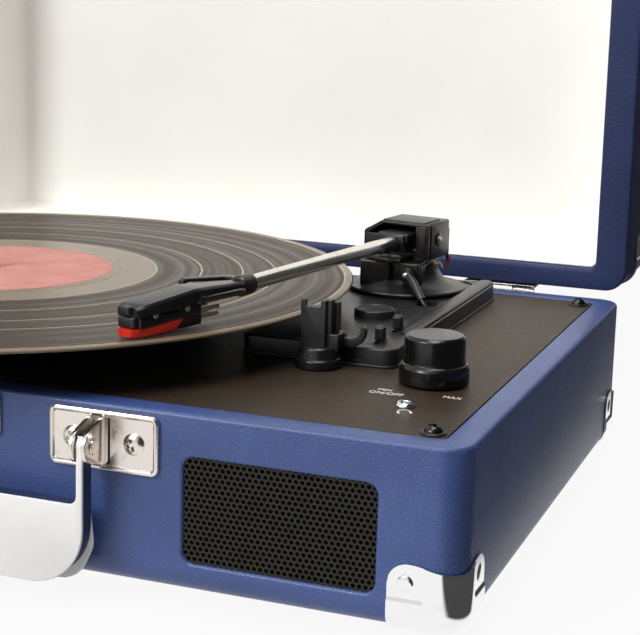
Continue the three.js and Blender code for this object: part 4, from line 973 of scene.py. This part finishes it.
def arm_housing():
    """An upside-down channel with its left shoulder cut off, drawn in X and Z."""
    outer = filleted([(-17, -7.5), (-17, 3.4), (-8.6, 8.3), (13.5, 8.3), (13.5, -7.5), (11.1, -7.5),
                      (11.1, 6.9), (-7.6, 6.9), (-14.4, 2.7), (-14.4, -7.5)],
                     [0.3, 1.6, 1, 0.8, 0.3, 0.3, 0.5, 0.5, 0.5, 0.3], 5)
    shell = put(slab(outer, -13.5, 9.5, 0.45), FRONT, (0, 0, ARM_Z))
    floor = block(-12, 12, -4, 4, 83.5, 85.3, 0.3, 0.3)
    shaft = turned([(0, 65), (3, 65), (3, 84), (0, 84)], segments=32)
    layer = put(slab(filleted([(-9.6, -7.4), (-9.6, 7.2), (-8.6, 8.1), (-7.2, 8.1), (-7.2, -7.4)], 0.3),
                     13.2, 14.1, 0.3), SIDE, (0, 0, ARM_Z))
    cheek = put(slab(filleted([(-5.6, -7.6), (-5.6, 7.6), (9.6, 7.6), (13.2, 4.2), (13.2, -7.6)],
                              [0.6, 0.6, 1, 1, 0.6]), 13.1, 14.0, 0.35), SIDE, (0, 0, ARM_Z))
    lid = put(slab(filleted([(-8.4, -8.7), (11.8, -8.7), (11.8, 7), (9, 9.8), (-8.4, 9.8)], 0.5), 8.0, 8.9, 0.35),
              UPRIGHT, (0, 0, ARM_Z))
    jambs = [block(-16.2, -8.6, -9.6, 1.5, 83.8, 93.4, 0.4, 0.3), block(8.3, 13.3, -9.8, 6, 83.8, 98.2, 0.4, 0.3)]
    back = put(slab([(-16.6, -6.8), (12.9, -6.8), (12.9, 7.9), (-8.8, 7.9), (-16.6, 3.2)], -13.3, -12.3, 0.2),
               FRONT, (0, 0, ARM_Z))
    return on_arm(both(shell, floor, shaft, layer, cheek, lid, back, *jambs))


add("arm_housing_body", arm_housing(), BLACK, "arm_base", ["arm_housing"])
for name, side in (("left", -1), ("right", 1)):
    basis = np.array([[0, side, 0], [0, 0, 1], [side, 0, 0]])
    boss = smooth_turned([(0, 0), (3.1, 0), (3.1, 0.5), (2.2, 0.8), (0, 0.8)], [0, 0, 0.3, 0.2, 0],
                         segments=40)
    add(f"arm_pivot_boss_{name}", on_arm(put(boss, basis, (side * 13.9, 1.5, ARM_Z + 0.8))), BLACK,
        "arm_base")
    dome = turned(np.r_[[(0, -0.4)], [(1.5 * cos(a), 0.6 * sin(a)) for a in np.linspace(0, pi / 2, 8)]],
                  segments=32)
    add(f"arm_pivot_screw_{name}", on_arm(put(dome, basis, (side * 14.7, 1.5, ARM_Z + 0.8))), SOLDER,
        "arm_base")
    pin = put(turned([(0, 4), (1.4, 4), (1.4, 12.5), (0, 12.5)], segments=24), basis, (0, 0, ARM_Z))
    add(f"arm_pivot_pin_{name}", on_arm(pin), STEEL, "arm_base")

clamp_side = filleted([(-9, 3.9), (16.5, 3.9), (16.5, 0.5), (15.2, -4), (12.2, -4), (12.2, -2.6), (8, -2.6),
                       (8, -4), (-9, -4)], [0.5, 0.8, 0.4, 0.5, 0.3, 0.3, 0.3, 0.3, 0.5], 4)
LEFTWARD = np.array([[0, -1, 0], [0, 0, 1], [-1, 0, 0]])
clamp = put(slab(clamp_side, -6, 6, 0.5), LEFTWARD, (0, 0, ARM_Z))
ledge = block(-7.2, 7.2, -15.2, 5, 91.5, 95.2, 0.6, 0.5)
ledge_top = block(-4.6, 4.6, -12.4, 4, 94.7, 95.3, 0.5, 0.15)
add("arm_clamp_body", on_arm(both(clamp, ledge, ledge_top)), GREY_BLACK, "arm", ["arm_clamp"])
collar = put(smooth_turned([(2.7, 15.6), (3.8, 15.6), (3.8, 17), (3.3, 17.5), (2.7, 17.5)],
                           [0, 0.2, 0.3, 0.3, 0], segments=48), FRONT, (0, 0, ARM_Z))
add("arm_tube_collar", on_arm(collar), GREY_BLACK, "arm")
tube = put(smooth_turned([(0, 9), (2.9, 9), (2.9, 137.4), (2.4, 137.6), (0, 137.6)], [0, 0, 0.2, 0.2, 0],
                         segments=64), FRONT, (0, 0, ARM_Z))
add("arm_tube_polished", on_arm(tube), BRIGHT_TUBE, "arm", ["arm_tube"])


def headshell():
    """A wedge with a flat neck, drawn from above and cut to its side view, which slopes down to the
    nose. Rings across it go from the neck to the nose: half widths and top and bottom heights."""
    stations = [  # ahead of the tube's end, half width, bottom, top
        (-2.5, 3.6, -1.6, 2.0), (6, 3.8, -0.6, 2.4), (17, 4.4, -0.9, 3.1), (24, 5.2, -1.0, 3.6),
        (29, 5.9, -1.1, 3.9), (31, 6.1, -1.2, 3.8), (53, 6.2, -2.3, 1.9), (57, 5.6, -2.5, 1.3),
        (58.6, 4.6, -2.5, 0.8)]
    rings = []
    for ahead, half, low, high in stations:
        chamfer = 0.9
        outline = filleted([(-half, low), (half, low), (half, high - chamfer), (half - chamfer, high),
                            (chamfer - half, high), (-half, high - chamfer)], 0.3, 3)
        rings.append(np.c_[outline[:, 0], np.full(len(outline), -ahead), outline[:, 1] + ARM_Z])
    return on_shell(skin(rings))


add("headshell_body", headshell(), SATIN_BLACK, "arm", ["headshell"], edge=0.3)
web = both(block(-4.6, 4.6, -57.5, -27.5, 87.4, 91.2, 0.5, 0.3), block(-2.6, 2.6, -30, -4, 88.4, 91.4, 0.5, 0.4))
add("headshell_web", on_shell(web), BLACK, "arm")
collar = put(smooth_turned([(2.95, 130.8), (3.6, 130.8), (3.9, 131.4), (3.9, 138.2), (3.3, 139.2),
                            (0, 139.2), (0, 137.8), (2.95, 137.8)],
                           [0, 0.2, 0.3, 0.5, 0.5, 0, 0, 0], segments=48), FRONT, (0, 0, ARM_Z))
add("headshell_collar", on_arm(collar), BLACK, "arm")
lift_outline = filleted([(-2, -132.1), (-8.5, -131.1), (-20.4, -146.8), (-17.2, -149.2), (-7.2, -135.2),
                         (-2, -136.9)], [0, 1.5, 1.0, 1.0, 1.5, 0], 5)
lift_lip = block(-20.0, -17.4, -148.8, -146.4, 89.6, 92.6, 0.4, 0.3)
add("finger_lift", on_arm(both(put(slab(lift_outline, 91.9, 93.4, 0.5), UPRIGHT), lift_lip)), SATIN_BLACK,
    "arm")
nose = [block(-2.2, 2.2, -60.4, -57.2, 89.2, 92.2, 0.6, 0.5),
        block(-3.9, 3.9, -59.8, -56.6, 84.6, 88.6, 1.2, 0.8)]
add("headshell_nose", on_shell(both(*nose)), GREY_BLACK, "arm")
pin = put(smooth_turned([(0, 0), (0.9, 0), (1.0, 2), (1.3, 2.4), (1.3, 22), (1.9, 22.6), (1.9, 25.4),
                         (1.4, 26.2), (0, 26.2)], [0, 0.2, 0.2, 0.2, 0.2, 0.3, 0.4, 0.4, 0], segments=32),
          FRONT, (4.4, -2.6, 90.2))
add("headshell_lock_pin", on_shell(pin), DARK_NICKEL, "arm")

cartridge = both(block(-5.2, 5.2, -57.4, -26.6, 84.6, 88.2, 0.7, 0.3),
                 block(-5.1, 5.1, -37.6, -26.4, 81.7, 91.0, 0.5, 0.4),
                 block(-4.7, 4.7, -55.5, -37, 84.2, 85.0, 0.8, 0.3))
add("cartridge_body", on_shell(cartridge), BLACK, "arm", ["cartridge"])
screws = [put(smooth_turned([(0, -5.5), (1.1, -5.5), (1.1, 5.5), (0, 5.5)], 0.2, segments=20), SIDE,
              (0, y, 88.3)) for y in (-34, -50)]
add("cartridge_screws", on_shell(both(*screws)), SOLDER, "arm")
pins = []
for x, z in ((-2.6, 89.6), (2.8, 89.0), (-2.2, 86.6), (3.4, 86.4), (3.0, 84.0), (-1.8, 83.8)):
    pin = smooth_turned([(0, 0), (0.35, 0), (0.35, 2.2), (0.8, 2.6), (0.8, 10.6), (0.3, 11.0), (0, 11.0)],
                        [0, 0, 0.1, 0.1, 0.2, 0.1, 0], segments=16)
    pins.append(put(pin, BACK, (x, -26.6, z)))
add("cartridge_pins", on_shell(both(*pins)), SOLDER, "arm")


def stylus_guard():
    """A red wedge, deep and square at the back and tapering to its nose. Rings along it give the
    half width, bottom and top."""
    stations = [(36.4, 5.2, 84.6, 85.3), (39.6, 5.25, 81.3, 85.3), (46, 5.2, 81.2, 85.0),
                (54, 4.8, 81.2, 84.6), (58.6, 3.9, 81.3, 84.5), (60, 3.1, 81.7, 84.4)]
    rings = []
    for ahead, half, low, high in stations:
        outline = filleted([(-half + 0.5, low), (half - 0.5, low), (half, low + 0.5), (half, high),
                            (-half, high), (-half, low + 0.5)], 0.2, 2)
        rings.append(np.c_[outline[:, 0], np.full(len(outline), -ahead), outline[:, 1]])
    return on_shell(skin(rings))


add("stylus_guard", stylus_guard(), RED, "arm", ["stylus"], edge=0.2)
needle = smooth_turned([(0, 80.95), (0.28, 81.3), (0.3, 82.0), (0, 82.0)], 0, (0, -56.5), 12)
add("needle", on_shell(needle), SOLDER, "arm")

for name, finish, points in (
        ("red", RED_WIRE, [(11.8, 12.4, 84.6), (13.6, 13.4, 82.6), (14, 13.2, 79.6), (12.6, 11.8, 76.8)]),
        ("white", WHITE_WIRE, [(9.8, 2.6, 83.4), (11.8, 3.6, 82.4), (13.8, 4.6, 80.8), (14.8, 5.4, 78.6)]),
        ("black", BLACK, [(10.6, 12.8, 84.6), (12, 14.8, 82.6), (12.2, 15, 79.6), (10.8, 13.4, 76.8)])):
    add(f"lead_{name}", on_arm(rod(curve(points), 0.45, 12)), finish, "arm_base")


# Arm rest and its clip

rest_base = smooth_turned([
    (0, 62), (8.8, 62), (8.8, 64.9), (8.3, 65.5), (7.9, 65.6), (7.4, 69.2), (6.8, 69.9), (0, 69.9)],
    [0, 0.5, 0.5, 0.15, 0.15, 0.6, 0.5, 0], REST, 96)
add("rest_base", rest_base, SATIN_BLACK, hides=["arm_rest"])
post = filleted([(91.4, 68.5), (102.8, 68.5), (102.8, 87.2), (99.6, 87.2), (99.6, 84.2),
                 (91.4, 84.2)], [0, 0, 0.3, 0.3, 0.5, 0.3], 3)
front_post = filleted([(91.2, 68.5), (101.1, 68.5), (101.1, 87.2), (99.0, 87.2), (99.0, 84.6),
                       (93.2, 84.6), (93.2, 87.2), (91.2, 87.2)], [0, 0, 0.3, 0.3, 0.5, 0.5, 0.3, 0.3], 3)
add("rest_post", put(slab(post, 45.6, 49.2, 0.3), FRONT), GREY_BLACK)
add("rest_post_front", put(slab(front_post, 49.0, 50.9, 0.3), FRONT), GREY_BLACK)
add("rest_lug", block(102.5, 106.3, -50.6, -45.6, 68.6, 74.8, 0.5, 0.4), BLACK)
rest_pin = put(smooth_turned([(0, -48.5), (1.0, -48.5), (1.0, -41.0), (0, -41.0)], [0, 0.2, 0.3, 0],
                             segments=24), BACK, (104.3, 0, 72.8))
add("rest_clip_pin", rest_pin, SOLDER)


def rest_clip():
    """A hook open at its top: two arms joined by a half ring, drawn in X and Z."""
    half_turn = np.linspace(pi, 2 * pi, 21)
    outer = np.stack([108.5 + 6.2 * np.cos(half_turn), 75.5 + 6.2 * np.sin(half_turn)], 1)
    inner = np.stack([108.5 + 4.2 * np.cos(half_turn), 75.8 + 3.0 * np.sin(half_turn)], 1)[::-1]
    hook = np.r_[[(104.1, 85.8), (102.5, 85.8)], outer, [(114.6, 76.8), (113.6, 77.7), (112.7, 77)], inner]
    boss = smooth_turned([(1.2, 42.3), (2.5, 42.3), (2.5, 45.3), (1.2, 45.3)], [0, 0.4, 0.4, 0],
                         segments=40)
    return both(put(slab(hook, 42.3, 45.3, 0.3), FRONT), put(boss, FRONT, (104.3, 0, 72.8)))


add("rest_clip_hook", rest_clip(), GREY_BLACK, "clip", ["rest_clip"])


# Carry handle and its brackets

def bracket(side):
    """A plate with a raised rim, and two ears that hold the handle's end on a pin."""
    outline = filleted([(-20.5, -10.4), (20.5, -10.4), (20.5, 10.4), (-20.5, 10.4)], 2.9, 7)
    plate = put(dished(outline, [(0, 130.3), (0, 130.8), (0.25, 131.35), (0.8, 131.68), (1.3, 131.66),
                                 (1.75, 131.3), (2.0, 131.02), (2.2, 130.98), (2.5, 130.98)]),
                FRONT, (52.7, 0, HANDLE_Z))
    angles = np.linspace(radians(-70), radians(70), 13)
    nose = [(-9.4 - 5.8 * cos(a), 5.8 * sin(a)) for a in angles]
    profile = np.array([(-1, -8.4), *nose, (-1, 8.4)]) + np.array([-130, HANDLE_Z])
    ears = [put(slab(profile, x, x + 1.5, 0.3), SIDE) for x in (51.8, 47.1)]
    pin = put(smooth_turned([(0, 46.6), (1.6, 46.6), (1.6, 53.4), (2.6, 53.4), (2.6, 54.1), (0, 54.1)],
                            [0, 0.3, 0, 0.2, 0.4, 0], segments=40), SIDE, (0, HANDLE_Y, HANDLE_Z))
    return mirrored(both(plate, *ears, pin), side)


for name, side in (("left", -1), ("right", 1)):
    add(f"bracket_plate_{name}", bracket(side), NICKEL, hides=[f"handle_bracket_{name}"], smooth=28)
    # painted shade: a thin black strip stands for the shade in the slot beside the outer ear
    slot = block(54.3, 55.3, -131.04, -130.4, HANDLE_Z - 8, HANDLE_Z + 8, 0.2, 0.02)
    add(f"bracket_slot_shade_{name}", mirrored(slot, side), DARK)
    for which, x in (("inner", 41.3), ("outer", 64.1)):
        screw(f"bracket_screw_{name}_{which}", (side * x, -130.95, HANDLE_Z), FRONT, 3.8, 1.7, NICKEL,
              turn=side * 18)


def handle_outline(shrink):
    """The handle's U: a wide grip under two narrow arms that end round their pivots."""
    half, band = 51.4 - shrink, 2.3 - 2 * shrink
    low, shoulder = 1 + shrink, 30 - shrink
    return filleted([
        (-half, HANDLE_Z), (-half, low), (half, low), (half, HANDLE_Z), (half - band, HANDLE_Z),
        (half - band, shoulder), (band - half, shoulder), (band - half, HANDLE_Z)],
        [0, 20, 20, 0, 0, 3, 3, 0], 12)


def handle_layer(shrink, near, far, edge):
    return put(slab(handle_outline(shrink), near, far, edge), FRONT)


def grip_back(near, far):
    """The back layer's grip: straight above, and bulging a little past the core at its corners."""
    outline = filleted([(-50.6, 26), (-52, 14), (-46, 1), (46, 1), (52, 14), (50.6, 26), (47, 28.5), (-47, 28.5)],
                       [2, 9, 17, 17, 9, 2, 2, 2], 8)
    return put(slab(outline, near, far, 0.3), FRONT)


def handle_ends(shrink, near, far):
    """The round ends of the arms: the part of a disc about the pivot between two depths."""
    ends = []
    radius = 4 - shrink
    for side in (-1, 1):
        angles = np.linspace(0, pi, 25)
        depth = np.clip(radius * np.cos(angles) - HANDLE_Y, near, far)
        arch = clean(np.stack([-depth, HANDLE_Z + radius * np.sin(angles)], 1))
        x0, x1 = sorted((side * (49.1 + shrink), side * (51.4 - shrink)))
        ends.append(put(slab(arch, x0, x1), SIDE))
    return both(*ends)


def carry_handle():
    # the handle's core takes the darker copy of the blue leatherette: painted shade
    layers = [("handle_face_front", 0.0, 142.1, 143.4, WHITE_SIDE, 0.4),
              ("handle_core", 0.3, 136.4, 142.2, SHADED_BLUE, 0.0)]
    for name, shrink, near, far, finish, edge in layers:
        add(name, both(handle_layer(shrink, near, far, edge), handle_ends(shrink, near, far)), finish,
            "carry_handle", ["handle"] if name == "handle_core" else ())
    add("handle_face_back", grip_back(135.4, 136.6), WHITE_SIDE, "carry_handle")


carry_handle()


# Lid: leatherette shell, turned-in edge and lining

def lid_shell():
    top = [ring(WIDTH - 2 * far, DEPTH - 2 * far, 10 - far, LID_TOP - z) for far, z in quarter(7)]
    rim = [ring(WIDTH - 2 * far, DEPTH - 2 * far, 10 - far, LID_RIM + z)
           for far, z in reversed(quarter(1.5, 4))]
    inside = [ring(LINED_WIDTH + 2 * far, LINED_DEPTH + 2 * far, 4 + far, LID_RIM + z)
              for far, z in quarter(1.6, 4)]
    return opened(skin(top + rim + inside + [ring(LINED_WIDTH, LINED_DEPTH, 4, 105)]))


def lid_liner():
    """A tray pushed into the lid, its edge rounded and its inner corners soft."""
    wide, deep = LINED_WIDTH - 0.2, LINED_DEPTH - 0.2
    outside = [ring(wide, deep, 3.9, 104.6), ring(wide, deep, 3.9, 69.5)]
    lip = [(0.4 * (1 - cos(a)), 69.5 - 0.4 * sin(a)) for a in np.linspace(0.3, pi - 0.3, 5)]
    edge = [ring(wide - 2 * far, deep - 2 * far, 3.9 - far, z) for far, z in lip]
    inside = [ring(wide - 1.6 - 2 * far, deep - 1.6 - 2 * far, 3.2 + far * 0.6, 103.4 - z)
              for far, z in reversed(quarter(2.2, 5))]
    return opened(skin(outside + edge + inside))


# the lid's covering takes the darker copy of the blue leatherette: painted shade
add("lid_covering", lid_shell(), SHADED_BLUE, "lid", ["lid_shell"])
add("lid_lining", lid_liner(), LINING, "lid", ["lid_liner"])


# Hinges and latch

def leaf_plate(low, high, y):
    outline = filleted([(-17, low), (17, low), (17, high), (-17, high)], 1.2, 4)
    return put(slab(outline, y, y + 1.2, 0.25), BACK)


LEAF_FACE_Y, LEAF_SCREW_Z = 131.4, 71  # the leaves' outer faces and the lid leaf's screws, lid shut
for name, side in (("left", -1), ("right", 1)):
    x = side * 119
    base_leaf = put(leaf_plate(36.9, 56.9, 130.3), UPRIGHT, (x, 0, 0))
    web = block(x - 6, x + 6, 130.3, 135, 56, 56.9, 0.1, 0.1)
    knuckle = smooth_turned([(0, -6), (2.6, -6), (2.6, 6), (0, 6)], [0, 0.3, 0.3, 0], segments=40)
    pin = smooth_turned([(0, -17.6), (1.4, -17.6), (1.4, 17.6), (0, 17.6)], [0, 0.4, 0.4, 0], segments=32)
    parts = both(base_leaf, web, put(knuckle, SIDE, (x, HINGE_Y, HINGE_Z)),
                 put(pin, SIDE, (x, HINGE_Y, HINGE_Z)))
    add(f"hinge_leaf_base_{name}", parts, NICKEL, hides=[f"hinge_base_{name}"])
    outer = smooth_turned([(1.7, 6.3), (2.6, 6.3), (2.6, 17), (1.7, 17)], [0, 0.3, 0.3, 0], segments=40)
    lid_leaf = put(leaf_plate(60.3, 80.3, 130.3), UPRIGHT, (x, 0, 0))
    knuckles = [put(outer, SIDE, (x, HINGE_Y, HINGE_Z)),
                mirrored(put(outer, SIDE, (-x, HINGE_Y, HINGE_Z)), -1)]
    webs = [block(x + k, x + k + 10.7, 130.3, 135, 60.3, 61.2, 0.1, 0.1) for k in (6.3, -17)]
    add(f"hinge_leaf_lid_{name}", opened(both(lid_leaf, *knuckles, *webs)), NICKEL, "lid",
        [f"hinge_lid_{name}"])
    for k in (-11, 11):
        screw(f"hinge_screw_base_{name}_{k + 11}", (x + k, LEAF_FACE_Y, 46), BACK, 2.3, 0.9, NICKEL)
        lid_place = (x + k, HINGE_Y + LEAF_SCREW_Z - HINGE_Z, HINGE_Z - LEAF_FACE_Y + HINGE_Y)
        screw(f"hinge_screw_lid_{name}_{k + 11}", lid_place, np.array([[1, 0, 0], [0, 1, 0], [0, 0, -1]]),
              2.3, 0.9, NICKEL, "lid")

catch_plate = put(dished(rectangle(-13, 13, 46, 61, 2, 5), [
    (0, 130.3), (0, 131.2), (0.5, 131.7), (0.6, 131.7)]), FRONT)
hook = put(slab(filleted([(-130, 51), (-134.7, 51), (-134.7, 54.2), (-133.6, 54.2), (-133.2, 53), (-130, 53)],
                         0.3, 3), -6.5, 6.5, 0.3), SIDE)
add("latch_catch_plate", both(catch_plate, hook), NICKEL, hides=["latch_catch"])
mount_plate = put(dished(rectangle(-13, 13, 64, 79, 2, 5), [
    (0, 130.3), (0, 131.2), (0.5, 131.7), (0.6, 131.7)]), FRONT)
lug_outline = filleted([(-131, 66.6), (-133.5, 67.6), (-139, 69.6), (-139, 72.6), (-135.4, 74), (-131, 75.4)],
                       [0, 0.5, 1.4, 1.4, 1, 0], 4)
lugs = [put(slab(lug_outline, x, x + 2, 0.3), SIDE) for x in (8.3, -10.3)]
hasp_pin = put(turned([(0, -10.6), (1.4, -10.6), (1.4, 10.6), (0, 10.6)], segments=32), SIDE, (0, -136, 71))
add("latch_mount_plate", opened(both(mount_plate, *lugs, hasp_pin)), NICKEL, "lid", ["latch_mount"])
hasp_outline = filleted([(-8, 71), (-8, 52.5), (-4.5, 49), (4.5, 49), (8, 52.5), (8, 71)],
                        [0, 2, 2, 2, 2, 0], 5)
hasp = put(slab(hasp_outline, 137, 139, 0.5), FRONT)
barrel = put(turned([(1.7, -8), (3.0, -8), (3.0, 8), (1.7, 8)], segments=48), SIDE, (0, -136, 71))
add("latch_hasp_body", opened(both(hasp, barrel)), CHROME, "hasp", ["latch_hasp"])
for name, x in (("left", -9.5), ("right", 9.5)):
    screw(f"latch_rivet_base_{name}", (x, -131.6, 56.5), FRONT, 2.0, 0.8, NICKEL)


# Socket panel at the back

add("socket_plate", put(slab(rectangle(20, 90, 16, 44, 2.5), 130.3, 132.3, 0.4), BACK), BLACK,
    hides=["jack_panel"])
for name, x, finish in (("left", -76, WHITE_WIRE), ("right", -62, RED_WIRE)):
    insulator = smooth_turned([(1.8, 0), (4.9, 0), (4.9, 1.6), (4.1, 2.4), (1.8, 2.4)],
                              [0, 0, 0.5, 0.4, 0], segments=40)
    add(f"line_socket_ring_{name}", put(insulator, BACK, (x, 132.1, 30)), finish)
barrels = [put(smooth_turned([(1.6, 0), (3.9, 0), (3.9, 7.6), (3.4, 8), (1.6, 8)], [0, 0, 0.2, 0.2, 0],
                             segments=40), BACK, (x, 132.3, 30)) for x in (-76, -62)]
add("line_sockets", both(*barrels, block(-81.7, -56.3, 121, 130, 23.5, 36.5)), NICKEL,
    hides=["rca_jacks"])
inlet = put(smooth_turned([(2.8, 0), (4.5, 0), (4.5, 3.1), (2.8, 3.1)], [0, 0, 0.4, 0.2], segments=40),
            BACK, (-37, 130.2, 30))
centre_pin = put(turned([(0, -6), (0.9, -6), (0.9, 2), (0, 2)], segments=16), BACK, (-37, 130.2, 30))
add("power_socket", both(inlet, centre_pin, block(-42.5, -31.5, 121, 130, 23.5, 36.5)), BLACK,
    hides=["power_inlet"])


# ---- Room, lamps and camera ----

def stage_floor():
    f = Finish("floor_white", "lining")
    f.wear({"Base Color": tint("b9b9b9"), "Roughness": 0.9})
    seen = f.node("LightPath", output="Is Camera Ray")
    mirrored_floor = f.node("LightPath", output="Is Glossy Ray")
    far_right = f.span(f.axis("X"), 0.192, 0.205)
    glow = f.tree.nodes.new("ShaderNodeEmission")
    mix = f.tree.nodes.new("ShaderNodeMixShader")
    f.feed(glow.inputs["Strength"], seen + mirrored_floor * (1 - far_right * 0.96))
    f.feed(mix.inputs[0], seen * 0.93 + mirrored_floor * 0.95)
    f.tree.links.new(f.surface.outputs[0], mix.inputs[1])
    f.tree.links.new(glow.outputs[0], mix.inputs[2])
    output = next(node for node in f.tree.nodes if node.bl_idname == "ShaderNodeOutputMaterial")
    f.tree.links.new(mix.outputs[0], output.inputs[0])
    corners = np.array([(-3000, -3000, -8.05), (3000, -3000, -8.05), (3000, 3000, -8.05), (-3000, 3000, -8.05)])
    floor = bare("floor", (corners, [[0, 1, 2, 3]]))
    floor.data.materials.append(f.material)


def world_light():
    """White for the camera, and white but for its right side in metal. Around the object a soft
    room, dimmer on the right."""
    world = bpy.data.worlds.new("room")
    bpy.context.scene.world = world
    world.use_nodes = True
    nodes, links = world.node_tree.nodes, world.node_tree.links
    nodes.clear()
    way = nodes.new("ShaderNodeTexCoord")
    split = nodes.new("ShaderNodeSeparateXYZ")
    links.new(way.outputs["Generated"], split.inputs[0])

    def level(axis, stops):
        slope = nodes.new("ShaderNodeMapRange")
        for i, value in enumerate(stops):
            slope.inputs[i + 1].default_value = value
        links.new(split.outputs[axis], slope.inputs[0])
        return slope.outputs[0]

    def sky(strength):
        light = nodes.new("ShaderNodeBackground")
        if isinstance(strength, float):
            light.inputs["Strength"].default_value = strength
        else:
            links.new(strength, light.inputs["Strength"])
        return light.outputs[0]

    path = nodes.new("ShaderNodeLightPath")
    shown = sky(level("X", (-0.7, 0.75, 0.85, 0.05)))
    for ray, light in (("Is Glossy Ray", sky(level("X", (0.05, 0.38, 0.97, 0.05)))),
                       ("Is Transmission Ray", sky(1.0)), ("Is Camera Ray", sky(1.0))):
        mix = nodes.new("ShaderNodeMixShader")
        links.new(path.outputs[ray], mix.inputs[0])
        links.new(shown, mix.inputs[1])
        links.new(light, mix.inputs[2])
        shown = mix.outputs[0]
    output = nodes.new("ShaderNodeOutputWorld")
    links.new(shown, output.inputs[0])


def lamp(name, place, target, size, power):
    """A square area lamp at a place in metres, facing a target."""
    data = bpy.data.lights.new(name, "AREA")
    data.size = size
    data.energy = power
    thing = bpy.data.objects.new(name, data)
    bpy.context.scene.collection.objects.link(thing)
    ahead = np.array(target, float) - np.array(place, float)
    ahead /= np.linalg.norm(ahead)
    right = np.cross(ahead, [0, 0, 1])
    right /= np.linalg.norm(right)
    up = np.cross(right, ahead)
    matrix = np.eye(4)
    matrix[:3, 0], matrix[:3, 1], matrix[:3, 2], matrix[:3, 3] = right, up, -ahead, place
    thing.matrix_world = Matrix(matrix.tolist())


def photo_camera():
    """The camera fitted to the case's edges and the disc: heading 20.4 degrees to the left, 10.4
    down, rolled 1.64."""
    yaw, pitch, roll = radians(20.4), radians(10.4), radians(1.64)
    ahead = np.array([-sin(yaw) * cos(pitch), cos(yaw) * cos(pitch), -sin(pitch)])
    level = np.array([cos(yaw), sin(yaw), 0])
    upright = np.cross(level, ahead)
    right = cos(roll) * level + sin(roll) * upright
    up = cos(roll) * upright - sin(roll) * level
    data = bpy.data.cameras.new("camera")
    data.sensor_width = 36
    data.lens = 89.72
    data.shift_y = -0.0805
    data.clip_start = 0.01
    thing = bpy.data.objects.new("camera", data)
    bpy.context.scene.collection.objects.link(thing)
    matrix = np.eye(4)
    matrix[:3, 0], matrix[:3, 1], matrix[:3, 2] = right, up, -ahead
    matrix[:3, 3] = (0.2978, -0.5873, 0.205)
    thing.matrix_world = Matrix(matrix.tolist())
    bpy.context.scene.camera = thing


stage_floor()
world_light()
lamp("key", (-0.75, -1.45, 1.25), (0, 0.05, 0.1), 0.8, 26)
lamp("top", (0.14, -0.05, 1.3), (-0.05, 0.1, 0.1), 0.6, 5.2)
lamp("left_fill", (0.13, -0.2, 0.5), (-0.19, 0.12, 0.22), 0.25, 0.6)
photo_camera()

scene = bpy.context.scene
scene.view_settings.view_transform = "Standard"
